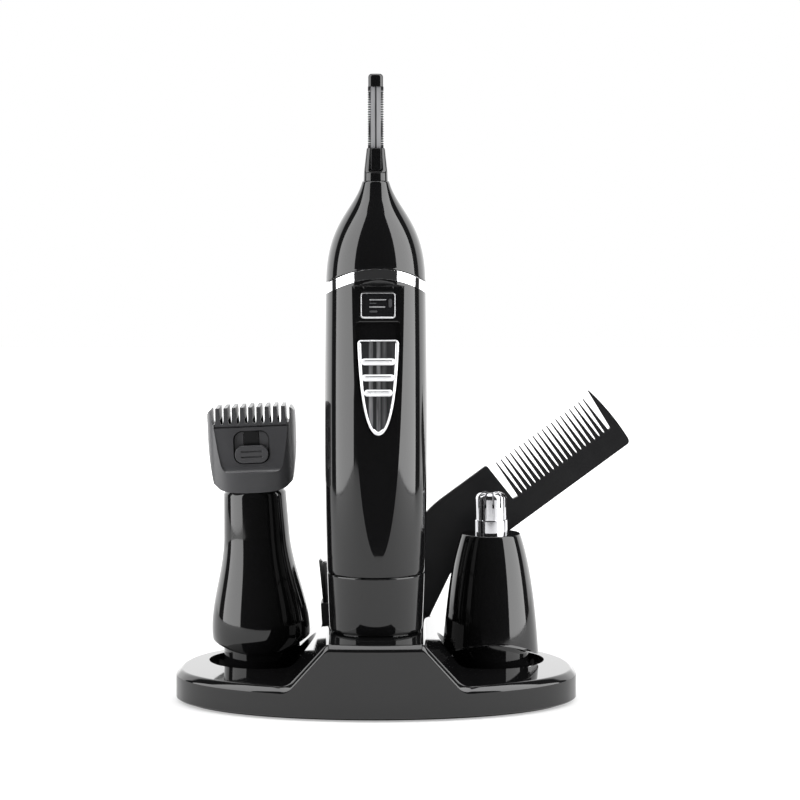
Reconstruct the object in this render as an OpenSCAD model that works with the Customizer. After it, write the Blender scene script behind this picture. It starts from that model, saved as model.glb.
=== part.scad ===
// Nose hair trimmer set: a battery handle with an eyebrow head, a nose head, a beard head
// with its guide comb, a hair comb and a cleaning brush, all kept in one oval stand.
// Millimetres. +Z up, X right, Y back. Origin: middle of the stand's footprint, on the table.

/* [Stand] */
// Half of the stand's width
stand_half_w = 53; // [44:0.5:64]
// Depth of the stand in front of its middle
stand_front = 30; // [25:0.5:36]
// Depth of the stand behind its middle
stand_back = 40; // [38:0.5:48]
// Height of the two side arms
arm_h = 8.4; // [7:0.1:10.2]
// Height of the middle deck
deck_h = 19.6; // [16.4:0.1:23.6]
// Half of the deck's flat width
deck_half = 12.5; // [12.3:0.1:14]
// Half of the width between the feet of the two ramps
ramp_foot = 22.5; // [20:0.1:25]
// Wall of the stand's shell
stand_wall = 2.2; // [1.8:0.1:2.7]
// Thickness of the bottom plate
plate_t = 1.6; // [1.3:0.1:2]
// Thickness of the anti-slip pad
pad_t = 0.8; // [0.6:0.1:1.2]
// Radius of a head's well
well_r = 14.4; // [14:0.1:17.3]
// Depth of a head's well
well_d = 2.4; // [2:0.1:2.9]
// Distance of each well from the middle, sideways
well_x = 30.7; // [30.5:0.1:34]
// Distance of each well behind the middle
well_y = 12; // [10:0.1:14.4]

/* [Handle] */
// Distance of the handle's axis in front of the stand's middle
handle_front = 6; // [5:0.1:7]
// Turn of the handle in its socket
handle_turn = 3.5; // [0:0.5:10]
// Largest radius of the handle
body_r = 13.4; // [13.2:0.1:16]
// Length of the handle from the battery cap's seam to the front of the chrome ring
barrel_l = 77.1; // [70:0.1:92]
// Length of the battery cap above the deck
cap_l = 15.1; // [13:0.1:18]
// Radius of the cap's plug that stands in the socket
plug_r = 10.9; // [9.2:0.1:11.3]
// Depth of the plug in the socket
plug_l = 8.8; // [8:0.1:10.5]
// Radius of the neck inside the battery cap
neck_r = 11.15; // [10.9:0.05:11.25]
// Height of the chrome ring
ring_h = 2.7; // [2:0.1:3.2]
// Battery diameter
cell_d = 14.5; // [13.5:0.1:14.5]
// Battery length
cell_l = 50.5; // [44.5:0.1:50.5]
// Length of the motor
motor_l = 22; // [18:0.1:23]
// Throw of the drive pin
crank_r = 1.5; // [1.2:0.1:1.8]
// Travel of the switch
switch_travel = 4.2; // [3.5:0.1:4.6]
// Length of the switch button
button_l = 24.5; // [20.5:0.1:25]
// Width of the switch button
button_w = 10.6; // [9:0.1:10.9]

/* [Heads] */
// Radius of the curved joint line between handle and heads
saddle_r = 22.4; // [20:0.1:27]
// Radius of each head's collar
collar_r = 10.2; // [9.8:0.1:10.3]
// Depth of each head's collar below the joint line's highest point
collar_l = 8.1; // [7.6:0.1:9]
// Wall of the head housings
head_wall = 1.4; // [1.1:0.1:1.7]
// Length of the eyebrow blade
brow_blade_l = 15.8; // [13:0.1:19]
// Width of the eyebrow blade
brow_blade_w = 4.0; // [3.6:0.1:4.8]
// Radius of the nose head's chrome tip
tip_r = 4.15; // [3.6:0.05:4.35]
// Length of the nose head's chrome tip
tip_l = 11; // [9.5:0.1:13.2]
// Lean of the beard head in its well
beard_lean = 2.4; // [0:0.1:2.8]
// Width of the guide comb
guide_w = 23.7; // [23.2:0.1:28]
// Depth of the guide comb, front to back
guide_d = 16.4; // [15:0.1:19.6]
// Number of teeth on the guide comb
guide_teeth = 9; // [7:1:11]

/* [Comb and brush] */
// Thickness of the hair comb
comb_t = 2.2; // [1.8:0.1:2.6]
// Width of the hair comb across its teeth
comb_w = 18.2; // [16:0.1:21.8]
// Height of the comb's spine
spine_h = 6.1; // [5:0.1:7.3]
// Number of comb teeth
comb_teeth = 20; // [16:1:24]
// Spacing of the comb teeth
comb_pitch = 1.55; // [1.3:0.01:1.8]
// Width of the brush
brush_w = 8; // [6.7:0.1:9.6]
// Thickness of the brush's handle
brush_t = 2.5; // [2.1:0.1:3]

/* [Hidden] */
$fn = 72;

black = [0.03, 0.03, 0.035];
dark = [0.12, 0.12, 0.13];
chrome = [0.8, 0.8, 0.82];
steel = [0.62, 0.63, 0.65];
e = 0.01;
slip = 0.08; // running clearance, all round
fit = 0.15; // easy clearance, all round

// heights that follow from the sizes above
plate_z = pad_t + plate_t;
well_z = arm_h - well_d;
socket_z = deck_h - plug_l - 0.3;
plug_z = socket_z + 0.1;
skirt_z = deck_h + 0.3;
seam_z = skirt_z + cap_l;
ring_top = seam_z + barrel_l + ring_h;
head_z = ring_top + 0.05 - collar_l + e;
floor_z = plug_z + 2.2;
neck_z = seam_z - 8;
neck_in = 9.6;
cell_z = floor_z + 4.9;
cell_top = cell_z + cell_l;
contact_z = cell_top + 0.1;
motor_z = contact_z + 3.2;
shaft_top = motor_z + motor_l + 7.4;
deck2_z = head_z - 1.5;
pin_z = head_z - 3.2;
bore_r = 11.3;
front_in = 9.5;
chassis_r = 8.9;
chassis_in = cell_d / 2 + 0.1;
chassis_z = seam_z + 3.2;
chassis_top = motor_z + motor_l + 1.4;
belly_z = seam_z + 35;

// ---- shared shapes ----
function bez(a, b, c, d, n) =
  [for (i = [0 : n]) let (t = i / n, s = 1 - t)
    a * s * s * s + b * 3 * s * s * t + c * 3 * s * t * t + d * t * t * t];
function spow(v, p) = sign(v) * pow(abs(v), p);
// the stand's plan: an ellipse in front, a fuller curve behind
function oval(w, f, b, n = 96) =
  [for (i = [0 : n - 1]) let (a = 360 * i / n)
    a <= 180 ? [w * spow(cos(a), 0.84), b * spow(sin(a), 0.84)] : [w * cos(a), f * sin(a)]];
function arc(c, r, a0, a1, n) =
  [for (i = [0 : n]) [c[0] + r * cos(a0 + (a1 - a0) * i / n), c[1] + r * sin(a0 + (a1 - a0) * i / n)]];
function mirror_x(p) = [for (i = [len(p) - 1 : -1 : 0]) [-p[i][0], p[i][1]]];
// radius of the handle at a height
function body_rad(z) =
  body_r - (z < belly_z ? 0.0005 : 0.00019) * (z - belly_z) * (z - belly_z);
function span(a, b, n) = [for (i = [0 : n]) a + (b - a) * i / n];

module lathe(p) { rotate_extrude($fn = 96) polygon(p); }
module tube(ro, ri, z0, z1) {
  translate([0, 0, z0]) difference() {
    cylinder(r = ro, h = z1 - z0);
    translate([0, 0, -1]) cylinder(r = ri, h = z1 - z0 + 2);
  }
}
module rod(r, z0, z1) { translate([0, 0, z0]) cylinder(r = r, h = z1 - z0); }
// everything under the curved joint line whose highest point is at z
module saddle(z) {
  translate([0, 0, z - saddle_r]) union() {
    rotate([90, 0, 0]) cylinder(r = saddle_r, h = 60, center = true, $fn = 120);
    translate([-saddle_r, -30, -200]) cube([2 * saddle_r, 60, 200]);
  }
}
// a profile in Y and Z carried across X
module across(w) { rotate([90, 0, 90]) linear_extrude(w, center = true) children(); }
// a front view in X and Z carried from y0 to y1
module front(y0, y1) { translate([0, y1, 0]) rotate([90, 0, 0]) linear_extrude(y1 - y0) children(); }
module rounded(w, h, r) {
  polygon(concat(arc([w / 2 - r, h / 2 - r], r, 0, 90, 5), arc([-w / 2 + r, h / 2 - r], r, 90, 180, 5),
    arc([-w / 2 + r, -h / 2 + r], r, 180, 270, 5), arc([w / 2 - r, -h / 2 + r], r, 270, 360, 5)));
}

// where each group stands
module at_handle() { translate([0, -handle_front, 0]) rotate([0, 0, handle_turn]) children(); }
module at_brow() { at_handle() translate([0, 0, head_z]) children(); }
module at_nose() { translate([well_x, well_y, well_z + 0.05]) children(); }
beard_lift = 0.05 + collar_r * sin(beard_lean);
module at_beard() { translate([-well_x, well_y, well_z + beard_lift]) rotate([0, -beard_lean, 0]) children(); }

// ---- the comb's and the brush's places ----
comb_rise = 36.4;
comb_stem_rise = 64.3;
comb_y = 27;
comb_stem_w = 11;
// where the stem's right edge meets the spine's lower edge, above the deck
comb_x = 20.1;
comb_z = deck_h + 9.8;
comb_foot = comb_z - socket_z + 1;
comb_stem_l = comb_foot / sin(comb_stem_rise);
brush_x = -13.5;
brush_y = 16;
brush_lean = 3.7;
brush_foot = well_z + 2.4;
brush_deck = deck_h - 1.2;

module at_comb() { translate([comb_x, comb_y, comb_z]) children(); }
module at_brush() { translate([brush_x, brush_y, brush_deck]) rotate([0, -brush_lean, 0]) children(); }
module comb_stem(grow, extra) {
  at_comb() rotate([0, 90 - comb_stem_rise, 0])
    translate([-comb_stem_w - grow, -comb_t / 2 - grow, -comb_stem_l - grow])
      cube([comb_stem_w + 2 * grow, comb_t + 2 * grow, comb_stem_l + extra]);
}
module brush_stem(grow, extra) {
  at_brush() translate([-brush_t / 2 - grow, -brush_w / 2 - grow, brush_foot - brush_deck - grow])
    cube([brush_t + 2 * grow, brush_w + 2 * grow, brush_deck - brush_foot + extra]);
}

// ---- stand ----
screw_at = [[stand_half_w - 9, -8], [9 - stand_half_w, -8],
  [21.5, stand_back - 7.5], [-21.5, stand_back - 7.5]];
module stand_section(d) {
  w = stand_half_w + 1;
  s = atan2(deck_h - arm_h, ramp_foot - deck_half);
  r1 = 2;
  r2 = 4;
  top = arc([deck_half - d * tan(s / 2) - r1 * tan(s / 2), deck_h - d - r1], r1, 90 - s, 90, 4);
  foot = arc([ramp_foot - d * tan(s / 2) + r2 * tan(s / 2), arm_h - d + r2], r2, 270, 270 - s, 5);
  half = concat([[w, arm_h - d]], foot, top);
  polygon(concat([[-w, -1], [w, -1]], half, mirror_x(half)));
}
module stand_outer() {
  intersection() {
    translate([0, 0, pad_t]) linear_extrude(deck_h) polygon(oval(stand_half_w, stand_front, stand_back));
    front(-stand_front - 5, stand_back + 5) stand_section(0);
  }
}
module stand_inner() {
  intersection() {
    translate([0, 0, pad_t - 1]) linear_extrude(deck_h)
      polygon(oval(stand_half_w - stand_wall, stand_front - stand_wall, stand_back - stand_wall));
    front(-stand_front - 5, stand_back + 5) stand_section(stand_wall);
  }
}
module stand_base() {
  color(black) difference() {
    union() {
      difference() {
        stand_outer();
        stand_inner();
      }
      intersection() {
        stand_outer();
        union() {
          for (s = [-1, 1]) translate([s * well_x, well_y, well_z - 1.6]) cylinder(r = well_r + 1.6, h = 20);
          translate([0, -handle_front, socket_z - 2]) cylinder(r = plug_r + 2.2, h = 20);
          comb_stem(1.9, 0);
          brush_stem(1.8, 0);
          for (p = screw_at) translate([p[0], p[1], plate_z]) cylinder(r = 2.7, h = 20);
        }
      }
    }
    for (s = [-1, 1]) translate([s * well_x, well_y, 0]) difference() {
      rod(well_r, well_z, deck_h + 5);
      tube(8.4, 6.9, well_z - 1, well_z + 2.4);
    }
    translate([0, -handle_front, 0]) rod(plug_r + 0.1, socket_z, deck_h + 5);
    comb_stem(fit, 20);
    brush_stem(fit, 20);
    for (p = screw_at) translate([p[0], p[1], 0]) rod(1.1, 0, well_z - 0.6);
    translate([0, 0, -1]) linear_extrude(1 + plate_z)
      polygon(oval(stand_half_w - 1.4, stand_front - 1.4, stand_back - 1.4));
  }
}
module stand_bottom_plate() {
  color(dark) difference() {
    translate([0, 0, pad_t]) linear_extrude(plate_t)
      polygon(oval(stand_half_w - 1.5, stand_front - 1.5, stand_back - 1.5));
    for (p = screw_at) translate([p[0], p[1], 0]) {
      rod(1.2, 0, 9);
      rod(2.3, 0, pad_t + 0.9);
    }
  }
}
module anti_slip_pad() {
  color(dark) difference() {
    linear_extrude(pad_t) polygon(oval(stand_half_w - 2.5, stand_front - 2.5, stand_back - 2.5));
    translate([0, 0, -1]) linear_extrude(pad_t + 2)
      polygon(oval(stand_half_w - 14.5, stand_front - 12.5, stand_back - 14.5));
    for (p = screw_at) translate([p[0], p[1], -1]) cylinder(r = 2.6, h = 9);
  }
}
module stand_screws() {
  color(steel) for (p = screw_at) translate([p[0], p[1], 0]) difference() {
    union() {
      rod(2.2, pad_t + 0.1, pad_t + 0.9);
      rod(1.1, pad_t + 0.5, well_z - 0.9);
    }
    translate([0, 0, pad_t + 0.3]) cube([2.6, 0.6, 0.8], center = true);
    translate([0, 0, pad_t + 0.3]) cube([0.6, 2.6, 0.8], center = true);
  }
}

// ---- handle ----
// the flat inlay zone on the front leans inwards, so its outline runs out in a point
facet_z0 = seam_z + 4.8;
facet_z1 = seam_z + barrel_l - 2;
facet_y0 = body_rad(facet_z0);
facet_y1 = body_rad(facet_z1) - 1.85;
function facet_y(z) = facet_y0 + (facet_y1 - facet_y0) * (z - facet_z0) / (facet_z1 - facet_z0);
module facet_cut() {
  across(40) polygon([[-20, facet_z0 - 30], [-facet_y(facet_z0 - 30), facet_z0 - 30],
    [-facet_y1, facet_z1], [-facet_y1 - 1.9, facet_z1 + 1.9], [-20, facet_z1 + 1.9]]);
}
// front view of the switch button, its top edge at the given height
button_top = seam_z + 61.5;
function shield(w, l, r) = let (h = w / 2, t = bez([h, -r], [h, -l * 0.62], [h * 0.52, -l], [0, -l], 16))
  concat(t, [for (i = [15 : -1 : 0]) [-t[i][0], t[i][1]]],
    arc([-h + r, -r], r, 165, 90, 4), arc([h - r, -r], r, 90, 15, 4));
module shield_front(w, l, r) { polygon(shield(w, l, r)); }
module track_view() {
  union() {
    translate([0, button_top + 0.2]) shield_front(button_w + 0.5, button_l + 0.5, 0.8);
    translate([0, button_top + switch_travel + 0.4]) shield_front(button_w + 0.5, button_l + 0.5, 1);
    translate([-button_w / 2 - 0.25, button_top - 3]) square([button_w + 0.5, switch_travel + 2]);
  }
}
track_d = 0.9;
slot_z = button_top - 12.5;
lamp_z = facet_z1 - 4.8;
lamp_w = 9;
lamp_h = 6.7;
lamp_tilt = atan2(facet_y0 - facet_y1, facet_z1 - facet_z0);
module on_facet(z) { translate([0, -facet_y(z), z]) rotate([-lamp_tilt, 0, 0]) children(); }

module barrel_outside() {
  zs = span(seam_z + 0.1, seam_z + barrel_l + ring_h, 24);
  difference() {
    intersection() {
      lathe(concat([[0, zs[0]]], [for (z = zs) [body_rad(z), z]], [[0, zs[24]]]));
      saddle(ring_top - ring_h);
    }
    facet_cut();
  }
}
module handle_barrel() {
  color(black) difference() {
    union() {
      barrel_outside();
      intersection() {
        rod(body_r - 1, seam_z + barrel_l - 10, ring_top);
        saddle(ring_top);
      }
      rod(neck_r, neck_z, seam_z + 1);
      // two lugs that lock the battery cap
      intersection() {
        rod(neck_r + 0.55, neck_z + 1.5, neck_z + 3.3);
        translate([0, 0, neck_z]) cube([40, 4, 10], center = true);
      }
    }
    rod(neck_in, neck_z - 1, seam_z + 3.2);
    intersection() {
      rod(bore_r, seam_z + 3.1, deck2_z);
      translate([-20, -front_in, 0]) cube([40, 40, 200]);
    }
    rod(6, deck2_z - 1, deck2_z + 3);
    rod(collar_r + slip, head_z - 0.05, ring_top + 5);
    difference() {
      rod(neck_r + 1, neck_z + 5, neck_z + 6.3);
      rod(neck_r - 0.98, neck_z, neck_z + 9);
    }
    // the switch's recess and the slot behind it
    intersection() {
      front(-20, 0) track_view();
      across(20) polygon([[-20, seam_z + 20], [-facet_y(seam_z + 20) + track_d, seam_z + 20],
        [-facet_y1 + track_d, facet_z1], [-20, facet_z1]]);
    }
    front(-20, 0) translate([0, slot_z + switch_travel / 2]) rounded(3.3, 6.3 + switch_travel, 1.2);
    // the lamp's pocket and its window
    on_facet(lamp_z) translate([0, 0.1, 0]) front(-3, 0.6) rounded(lamp_w, lamp_h, 0.9);
    front(-20, 0) translate([0, deck2_z - 3.2]) square([3.4, 2.4], center = true);
  }
}
module trim_ring() {
  color(chrome) difference() {
    intersection() {
      tube(body_rad(seam_z + barrel_l) + 0.05, body_r - 1, seam_z + barrel_l - 12, ring_top + 5);
      saddle(ring_top);
    }
    saddle(ring_top - ring_h);
  }
}
module lamp_frame() {
  color(chrome) on_facet(lamp_z) difference() {
    front(-0.25, 0.6) rounded(lamp_w - 0.1, lamp_h - 0.1, 0.85);
    front(-3, 3) rounded(lamp_w - 1.2, lamp_h - 1.3, 0.5);
  }
}
module lamp_lens() {
  color([0.25, 0.25, 0.27]) on_facet(lamp_z) union() {
    front(0, 0.6) rounded(lamp_w - 1.3, lamp_h - 1.4, 0.45);
    for (k = [-1, 0, 1]) translate([-0.6, 0, 1.5 * k]) rotate([0, 90, 0]) cylinder(r = 0.35, h = 4.2, center = true);
  }
}
module led() {
  color([0.9, 0.9, 0.85]) union() {
    translate([-1.6, -facet_y(deck2_z) + 0.9, deck2_z - 4.3]) cube([3.2, 1.1, 2.2]);
    translate([-4, -front_in + 0.05, deck2_z - 5]) cube([8, 0.8, 4.5]);
  }
}
module seal_ring() {
  color(dark) rotate_extrude() translate([neck_r - 0.45, neck_z + 5.65]) circle(r = 0.5);
}
module chassis() {
  color([0.85, 0.85, 0.83]) difference() {
    union() {
      tube(chassis_r, chassis_in, chassis_z, chassis_top);
      for (z = [chassis_z + 0.1, chassis_top - 8]) intersection() {
        tube(bore_r - 0.05, chassis_in, z, z + 1.6);
        translate([-20, -front_in + 0.1, 0]) cube([40, 40, 200]);
      }
      rod(chassis_in + 1, motor_z + motor_l, motor_z + motor_l + 1.4);
    }
    rod(3.1, motor_z, chassis_top + 1);
    // flat front so the switch can slide, and a channel for each strip
    translate([-8, -20, slot_z - 10]) cube([16, 12, 22 + switch_travel]);
    translate([-2.2, chassis_r, 0]) cube([4.4, 1.2, 200]);
    translate([-20, -1.5, contact_z - 0.1]) cube([40, 3, 1.3]);
  }
}
module battery_cell() {
  color([0.25, 0.3, 0.25]) union() {
    rod(cell_d / 2, cell_z, cell_top - 1.2);
    rod(2.75, cell_top - 1.3, cell_top);
  }
}
module positive_contact() {
  color(steel) union() {
    rod(chassis_in - 0.05, contact_z + 0.5, contact_z + 1);
    rod(1.8, contact_z - 0.1, contact_z + 0.6);
  }
}
module negative_strip() {
  color(steel) translate([-1.7, chassis_r + 0.05, neck_z - 12.5])
    cube([3.4, 0.4, contact_z - neck_z + 16]);
}
module switch_strip() {
  color(steel) union() {
    translate([-2, -8.3, slot_z - 9]) cube([4, 0.3, 4.5]);
    translate([-2, -8.3, slot_z + 4]) cube([4, 0.3, 4.5 + switch_travel]);
  }
}
module motor_can() {
  color(steel) difference() {
    union() {
      rod(chassis_in - 0.05, motor_z, motor_z + motor_l);
      rod(3, motor_z + motor_l - 1, motor_z + motor_l + 1.4);
      for (s = [-1, 1]) translate([s * 4, 0, motor_z - 0.7]) cube([1.2, 0.5, 2], center = true);
    }
    rod(1.05, motor_z + 2, motor_z + motor_l + 3);
  }
}
module motor_shaft() { color(steel) rod(1, motor_z + 2.2, motor_z + motor_l + 4.5); }
module drive_coupling() {
  color([0.85, 0.85, 0.83]) difference() {
    union() {
      rod(2.6, motor_z + motor_l + 1.6, pin_z);
      rod(4.2, pin_z - 0.2, pin_z + 1.5);
      translate([crank_r, 0, 0]) rod(0.9, pin_z + 1, head_z + 2.3);
    }
    rod(1, motor_z, motor_z + motor_l + 4.5);
  }
}

// ---- battery cap ----
module battery_cap() {
  zs = span(skirt_z, seam_z, 8);
  gz = neck_z + 1.5;
  color(black) difference() {
    lathe(concat([[0, plug_z], [plug_r - 0.8, plug_z], [plug_r, plug_z + 0.8], [plug_r, skirt_z]],
      [for (z = zs) [body_rad(z), z]], [[0, seam_z]]));
    rod(neck_in, floor_z, seam_z + 1);
    rod(neck_r + 0.1, neck_z - 0.5, seam_z + 1);
    intersection() {
      rod(neck_r + 0.7, gz - 0.15, gz + 1.95);
      union() for (a = [0, 10, 20, 30]) rotate([0, 0, a]) cube([60, 4.6, 200], center = true);
    }
    intersection() {
      rod(neck_r + 0.7, gz - 0.15, seam_z + 1);
      rotate([0, 0, 30]) cube([60, 4.8, 200], center = true);
    }
  }
}
module cap_contact() { color(steel) rod(neck_in - 0.4, floor_z, floor_z + 0.4); }
// a coil of round wire, carried round as one closed skin
module coil(r0, r1, wire, h, turns) {
  n = 16 * turns;
  ring = [for (k = [0 : 5]) [wire * cos(60 * k), wire * sin(60 * k)]];
  pts = [for (i = [0 : n]) let (t = i / n, a = 360 * turns * t, r = r0 + (r1 - r0) * t)
    for (q = ring) [(r + q[0]) * cos(a), (r + q[0]) * sin(a), h * t + q[1]]];
  sides = [for (i = [0 : n - 1]) for (k = [0 : 5]) let (a = 6 * i + k, b = 6 * i + (k + 1) % 6)
    [a, a + 6, b + 6, b]];
  polyhedron(points = pts, faces = concat([[for (k = [0 : 5]) k]], sides, [[for (k = [5 : -1 : 0]) 6 * n + k]]), convexity = 4);
}
module battery_spring() {
  color(steel) translate([0, 0, floor_z + 0.85]) coil(4.8, 3.2, 0.4, cell_z - floor_z - 1.35, 4);
}

// ---- switch ----
// everything that lies between two depths under the inlay zone's face, measured inwards
module facet_layer(a, b) {
  across(20) polygon([[-facet_y(seam_z) + a, seam_z], [-facet_y(facet_z1) + a, facet_z1],
    [-facet_y(facet_z1) + b, facet_z1], [-facet_y(seam_z) + b, seam_z]]);
}
module slide_button() {
  color(dark) union() {
    intersection() {
      front(-20, 0) translate([0, button_top - 0.9]) shield_front(button_w - 1.8, button_l - 2.2, 0.6);
      facet_layer(-0.25, track_d - 0.1);
    }
    difference() {
      intersection() {
        front(-20, 0) translate([0, slot_z]) rounded(3, 6, 1.1);
        facet_layer(0.3, 20);
      }
      translate([-5, -front_in + 0.15, 0]) cube([10, 30, 300]);
    }
  }
}
bar_drop = [5.6, 9.6, 13.6];
module button_trim() {
  color(chrome) union() {
    intersection() {
      front(-20, 0) difference() {
        translate([0, button_top]) shield_front(button_w, button_l, 0.9);
        translate([0, button_top - 0.9]) shield_front(button_w - 1.8, button_l - 2.2, 0.6);
      }
      facet_layer(-0.7, track_d - 0.1);
    }
    for (d = bar_drop) translate([0, -facet_y(button_top - d) - 0.25, button_top - d])
      difference() {
        rotate([0, 90, 0]) cylinder(r = 0.8, h = button_w - 1.7 - (d - 5.6) * 0.13, center = true);
        translate([-10, -0.03, -5]) cube([20, 5, 10]);
      }
  }
}
module switch_slider() {
  color([0.7, 0.6, 0.35]) union() {
    translate([-2.5, -front_in + 0.15, slot_z - 4.5]) cube([5, 0.95, 9]);
  }
}

// ---- heads: a shell on a collar, cut along the curved joint line ----
module head_shell(outline, inline, turn) {
  difference() {
    union() {
      difference() {
        lathe(outline);
        rotate([0, 0, turn]) saddle(collar_l + 0.05);
      }
      rod(collar_r, 0, collar_l + 2);
    }
    rod(collar_r - 1.2, -1, collar_l + 2);
    lathe(inline);
  }
}

// eyebrow head
brow_top = 30.3;
brow_out = bez([body_rad(ring_top) + 0.05, 3.4], [13.2, 19.8], [5.5, 22.9], [3.5, brow_top], 24);
brow_in = bez([collar_r - 1.2, collar_l + 1], [body_r - 2.2, 18.5], [4.2, 20.8], [2.2, brow_top - 3], 16);
carrier_l = 8.6;
blade_z = brow_top + carrier_l;
module brow_housing() {
  color(black) at_brow() difference() {
    head_shell(concat([[0, 3.4]], brow_out, [[0, brow_top]]), concat([[0, collar_l + 1]], brow_in, [[0, brow_top - 3]]), 0);
    rod(1.6, 0, brow_top + 1);
  }
}
module brow_carrier() {
  color(dark) at_brow() difference() {
    union() {
      rod(3.2, brow_top, brow_top + 2.4);
      intersection() {
        front(-2.1, 2.1) polygon([[-3.15, brow_top + 2], [3.15, brow_top + 2], [2.4, blade_z], [-2.4, blade_z]]);
        rod(3.4, brow_top, blade_z);
      }
    }
    rod(1.6, brow_top - 1, brow_top + 5);
    translate([-1.25, -0.45, brow_top]) cube([2.5, 0.9, carrier_l + 1]);
    for (s = [-1, 1]) translate([-1.8, s * 0.65 - 0.2, blade_z - 3]) cube([3.6, 0.4, 4]);
    front(-3, -1.75) translate([0, blade_z - 2.4]) rounded(3, 5.6, 0.6);
  }
}
function edge_teeth(w, d, z0, z1, n) = let (p = (z1 - z0) / n)
  [for (i = [0 : n - 1]) each [[w / 2 - d, z0 + i * p], [w / 2, z0 + (i + 0.12) * p],
    [w / 2, z0 + (i + 0.5) * p], [w / 2 - d, z0 + (i + 0.62) * p]]];
function toothed_strip(w, d, z0, z1, n, over) = let (t = edge_teeth(w, d, z0 + over, z1 - over, n))
  concat([[w / 2 - d, z0]], t, [[w / 2 - d, z1]], [[-w / 2 + d, z1]], mirror_x(t), [[-w / 2 + d, z0]]);
module brow_fixed_blades() {
  color(steel) at_brow() for (s = [-1, 1]) difference() {
    front(s * 0.64 - 0.18, s * 0.64 + 0.18)
      polygon(toothed_strip(brow_blade_w, 0.75, blade_z - 2.8, blade_z + brow_blade_l + 1, 22, 3.6));
    front(-3, 3) translate([0, blade_z + brow_blade_l / 2]) square([0.5, brow_blade_l - 1], center = true);
  }
}
module brow_moving_blade() {
  color(steel) at_brow() front(-0.4, 0.4)
    polygon(toothed_strip(brow_blade_w - 0.4, 0.6, blade_z + 0.8, blade_z + brow_blade_l - 0.7, 22, 0.6));
}
module brow_tip_cap() {
  z = blade_z + brow_blade_l;
  color(black) at_brow() difference() {
    front(-1.3, 1.3) polygon(concat([[-1.95, z], [1.95, z]], arc([0.75, z + 2.3], 1.2, 0, 90, 5), arc([-0.75, z + 2.3], 1.2, 90, 180, 5)));
    for (s = [-1, 1]) translate([-1.4, s * 0.64 - 0.2, z - 1]) cube([2.8, 0.4, 2.1]);
  }
}
module brow_drive_rod() {
  color([0.85, 0.85, 0.83]) at_brow() union() {
    difference() {
      rod(crank_r + 2.1, 0.9, 4.6);
      rod(crank_r + 1.2, 0, 3.6);
    }
    rod(1.3, 4.5, brow_top + 3.6);
    translate([-1, -0.3, brow_top + 3]) cube([2, 0.6, carrier_l - 2.2]);
  }
}

// nose head
nose_top = 36.6;
nose_out = bez([13, 3.4], [13, 3.9], [12.13, 26.6], [8, nose_top], 24);
nose_in = bez([collar_r - 1.2, collar_l + 1], [13 - head_wall, collar_l + 3], [12 - head_wall, 26], [7.6 - head_wall, nose_top - 1.6], 16);
module nose_housing() {
  color(black) at_nose() difference() {
    union() {
      head_shell(concat([[0, 3.4]], nose_out, [[0, nose_top]]), concat([[0, collar_l + 1]], nose_in, [[0, nose_top - 1.6]]), 0);
      rod(collar_r - 0.2, 8.2, 10.2);
      rod(3.2, 8.2, 14);
    }
    rod(1.55, 0, nose_top + 1);
    rod(tip_r + 0.35, nose_top - 2.5, nose_top + 1);
  }
}
module nose_guard() {
  z = nose_top + tip_l;
  color(chrome) at_nose() difference() {
    lathe(concat([[0, nose_top - 2.5], [tip_r + 1.4, nose_top - 2.5], [tip_r + 1.4, nose_top - 1.7],
      [tip_r + 0.3, nose_top - 1.7], [tip_r + 0.3, nose_top + 3.8], [tip_r, nose_top + 4.1]],
      arc([tip_r - 1.6, z - 1.6], 1.6, 0, 90, 6), [[0, z]]));
    lathe(concat([[0, nose_top - 3], [tip_r - 0.5, nose_top - 3]], arc([tip_r - 2, z - 2], 1.5, 0, 90, 6), [[0, z - 0.5]]));
    for (a = [0 : 30 : 330]) rotate([0, 0, a]) translate([1.3, -0.27, z - 4]) cube([5, 0.54, 6]);
  }
}
module nose_rotor() {
  z = nose_top + tip_l - 0.9;
  color(steel) at_nose() union() {
    rod(tip_r - 0.6, nose_top - 2, nose_top + 1);
    front(-0.5, 0.5) polygon(concat([[-2.2, nose_top], [2.2, nose_top]],
      arc([tip_r - 2.1, z - 1.5], 1.5, 0, 90, 5), arc([-tip_r + 2.1, z - 1.5], 1.5, 90, 180, 5)));
  }
}
module nose_shaft() {
  color([0.85, 0.85, 0.83]) at_nose() union() {
    rod(1.5, 2, nose_top - 2);
    difference() {
      rod(crank_r + 2.6, 0.9, 3.4);
      translate([0, -1, 0]) cube([crank_r + 4, 2, 2.6]);
      rod(1, 0, 2.6);
    }
  }
}

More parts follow.
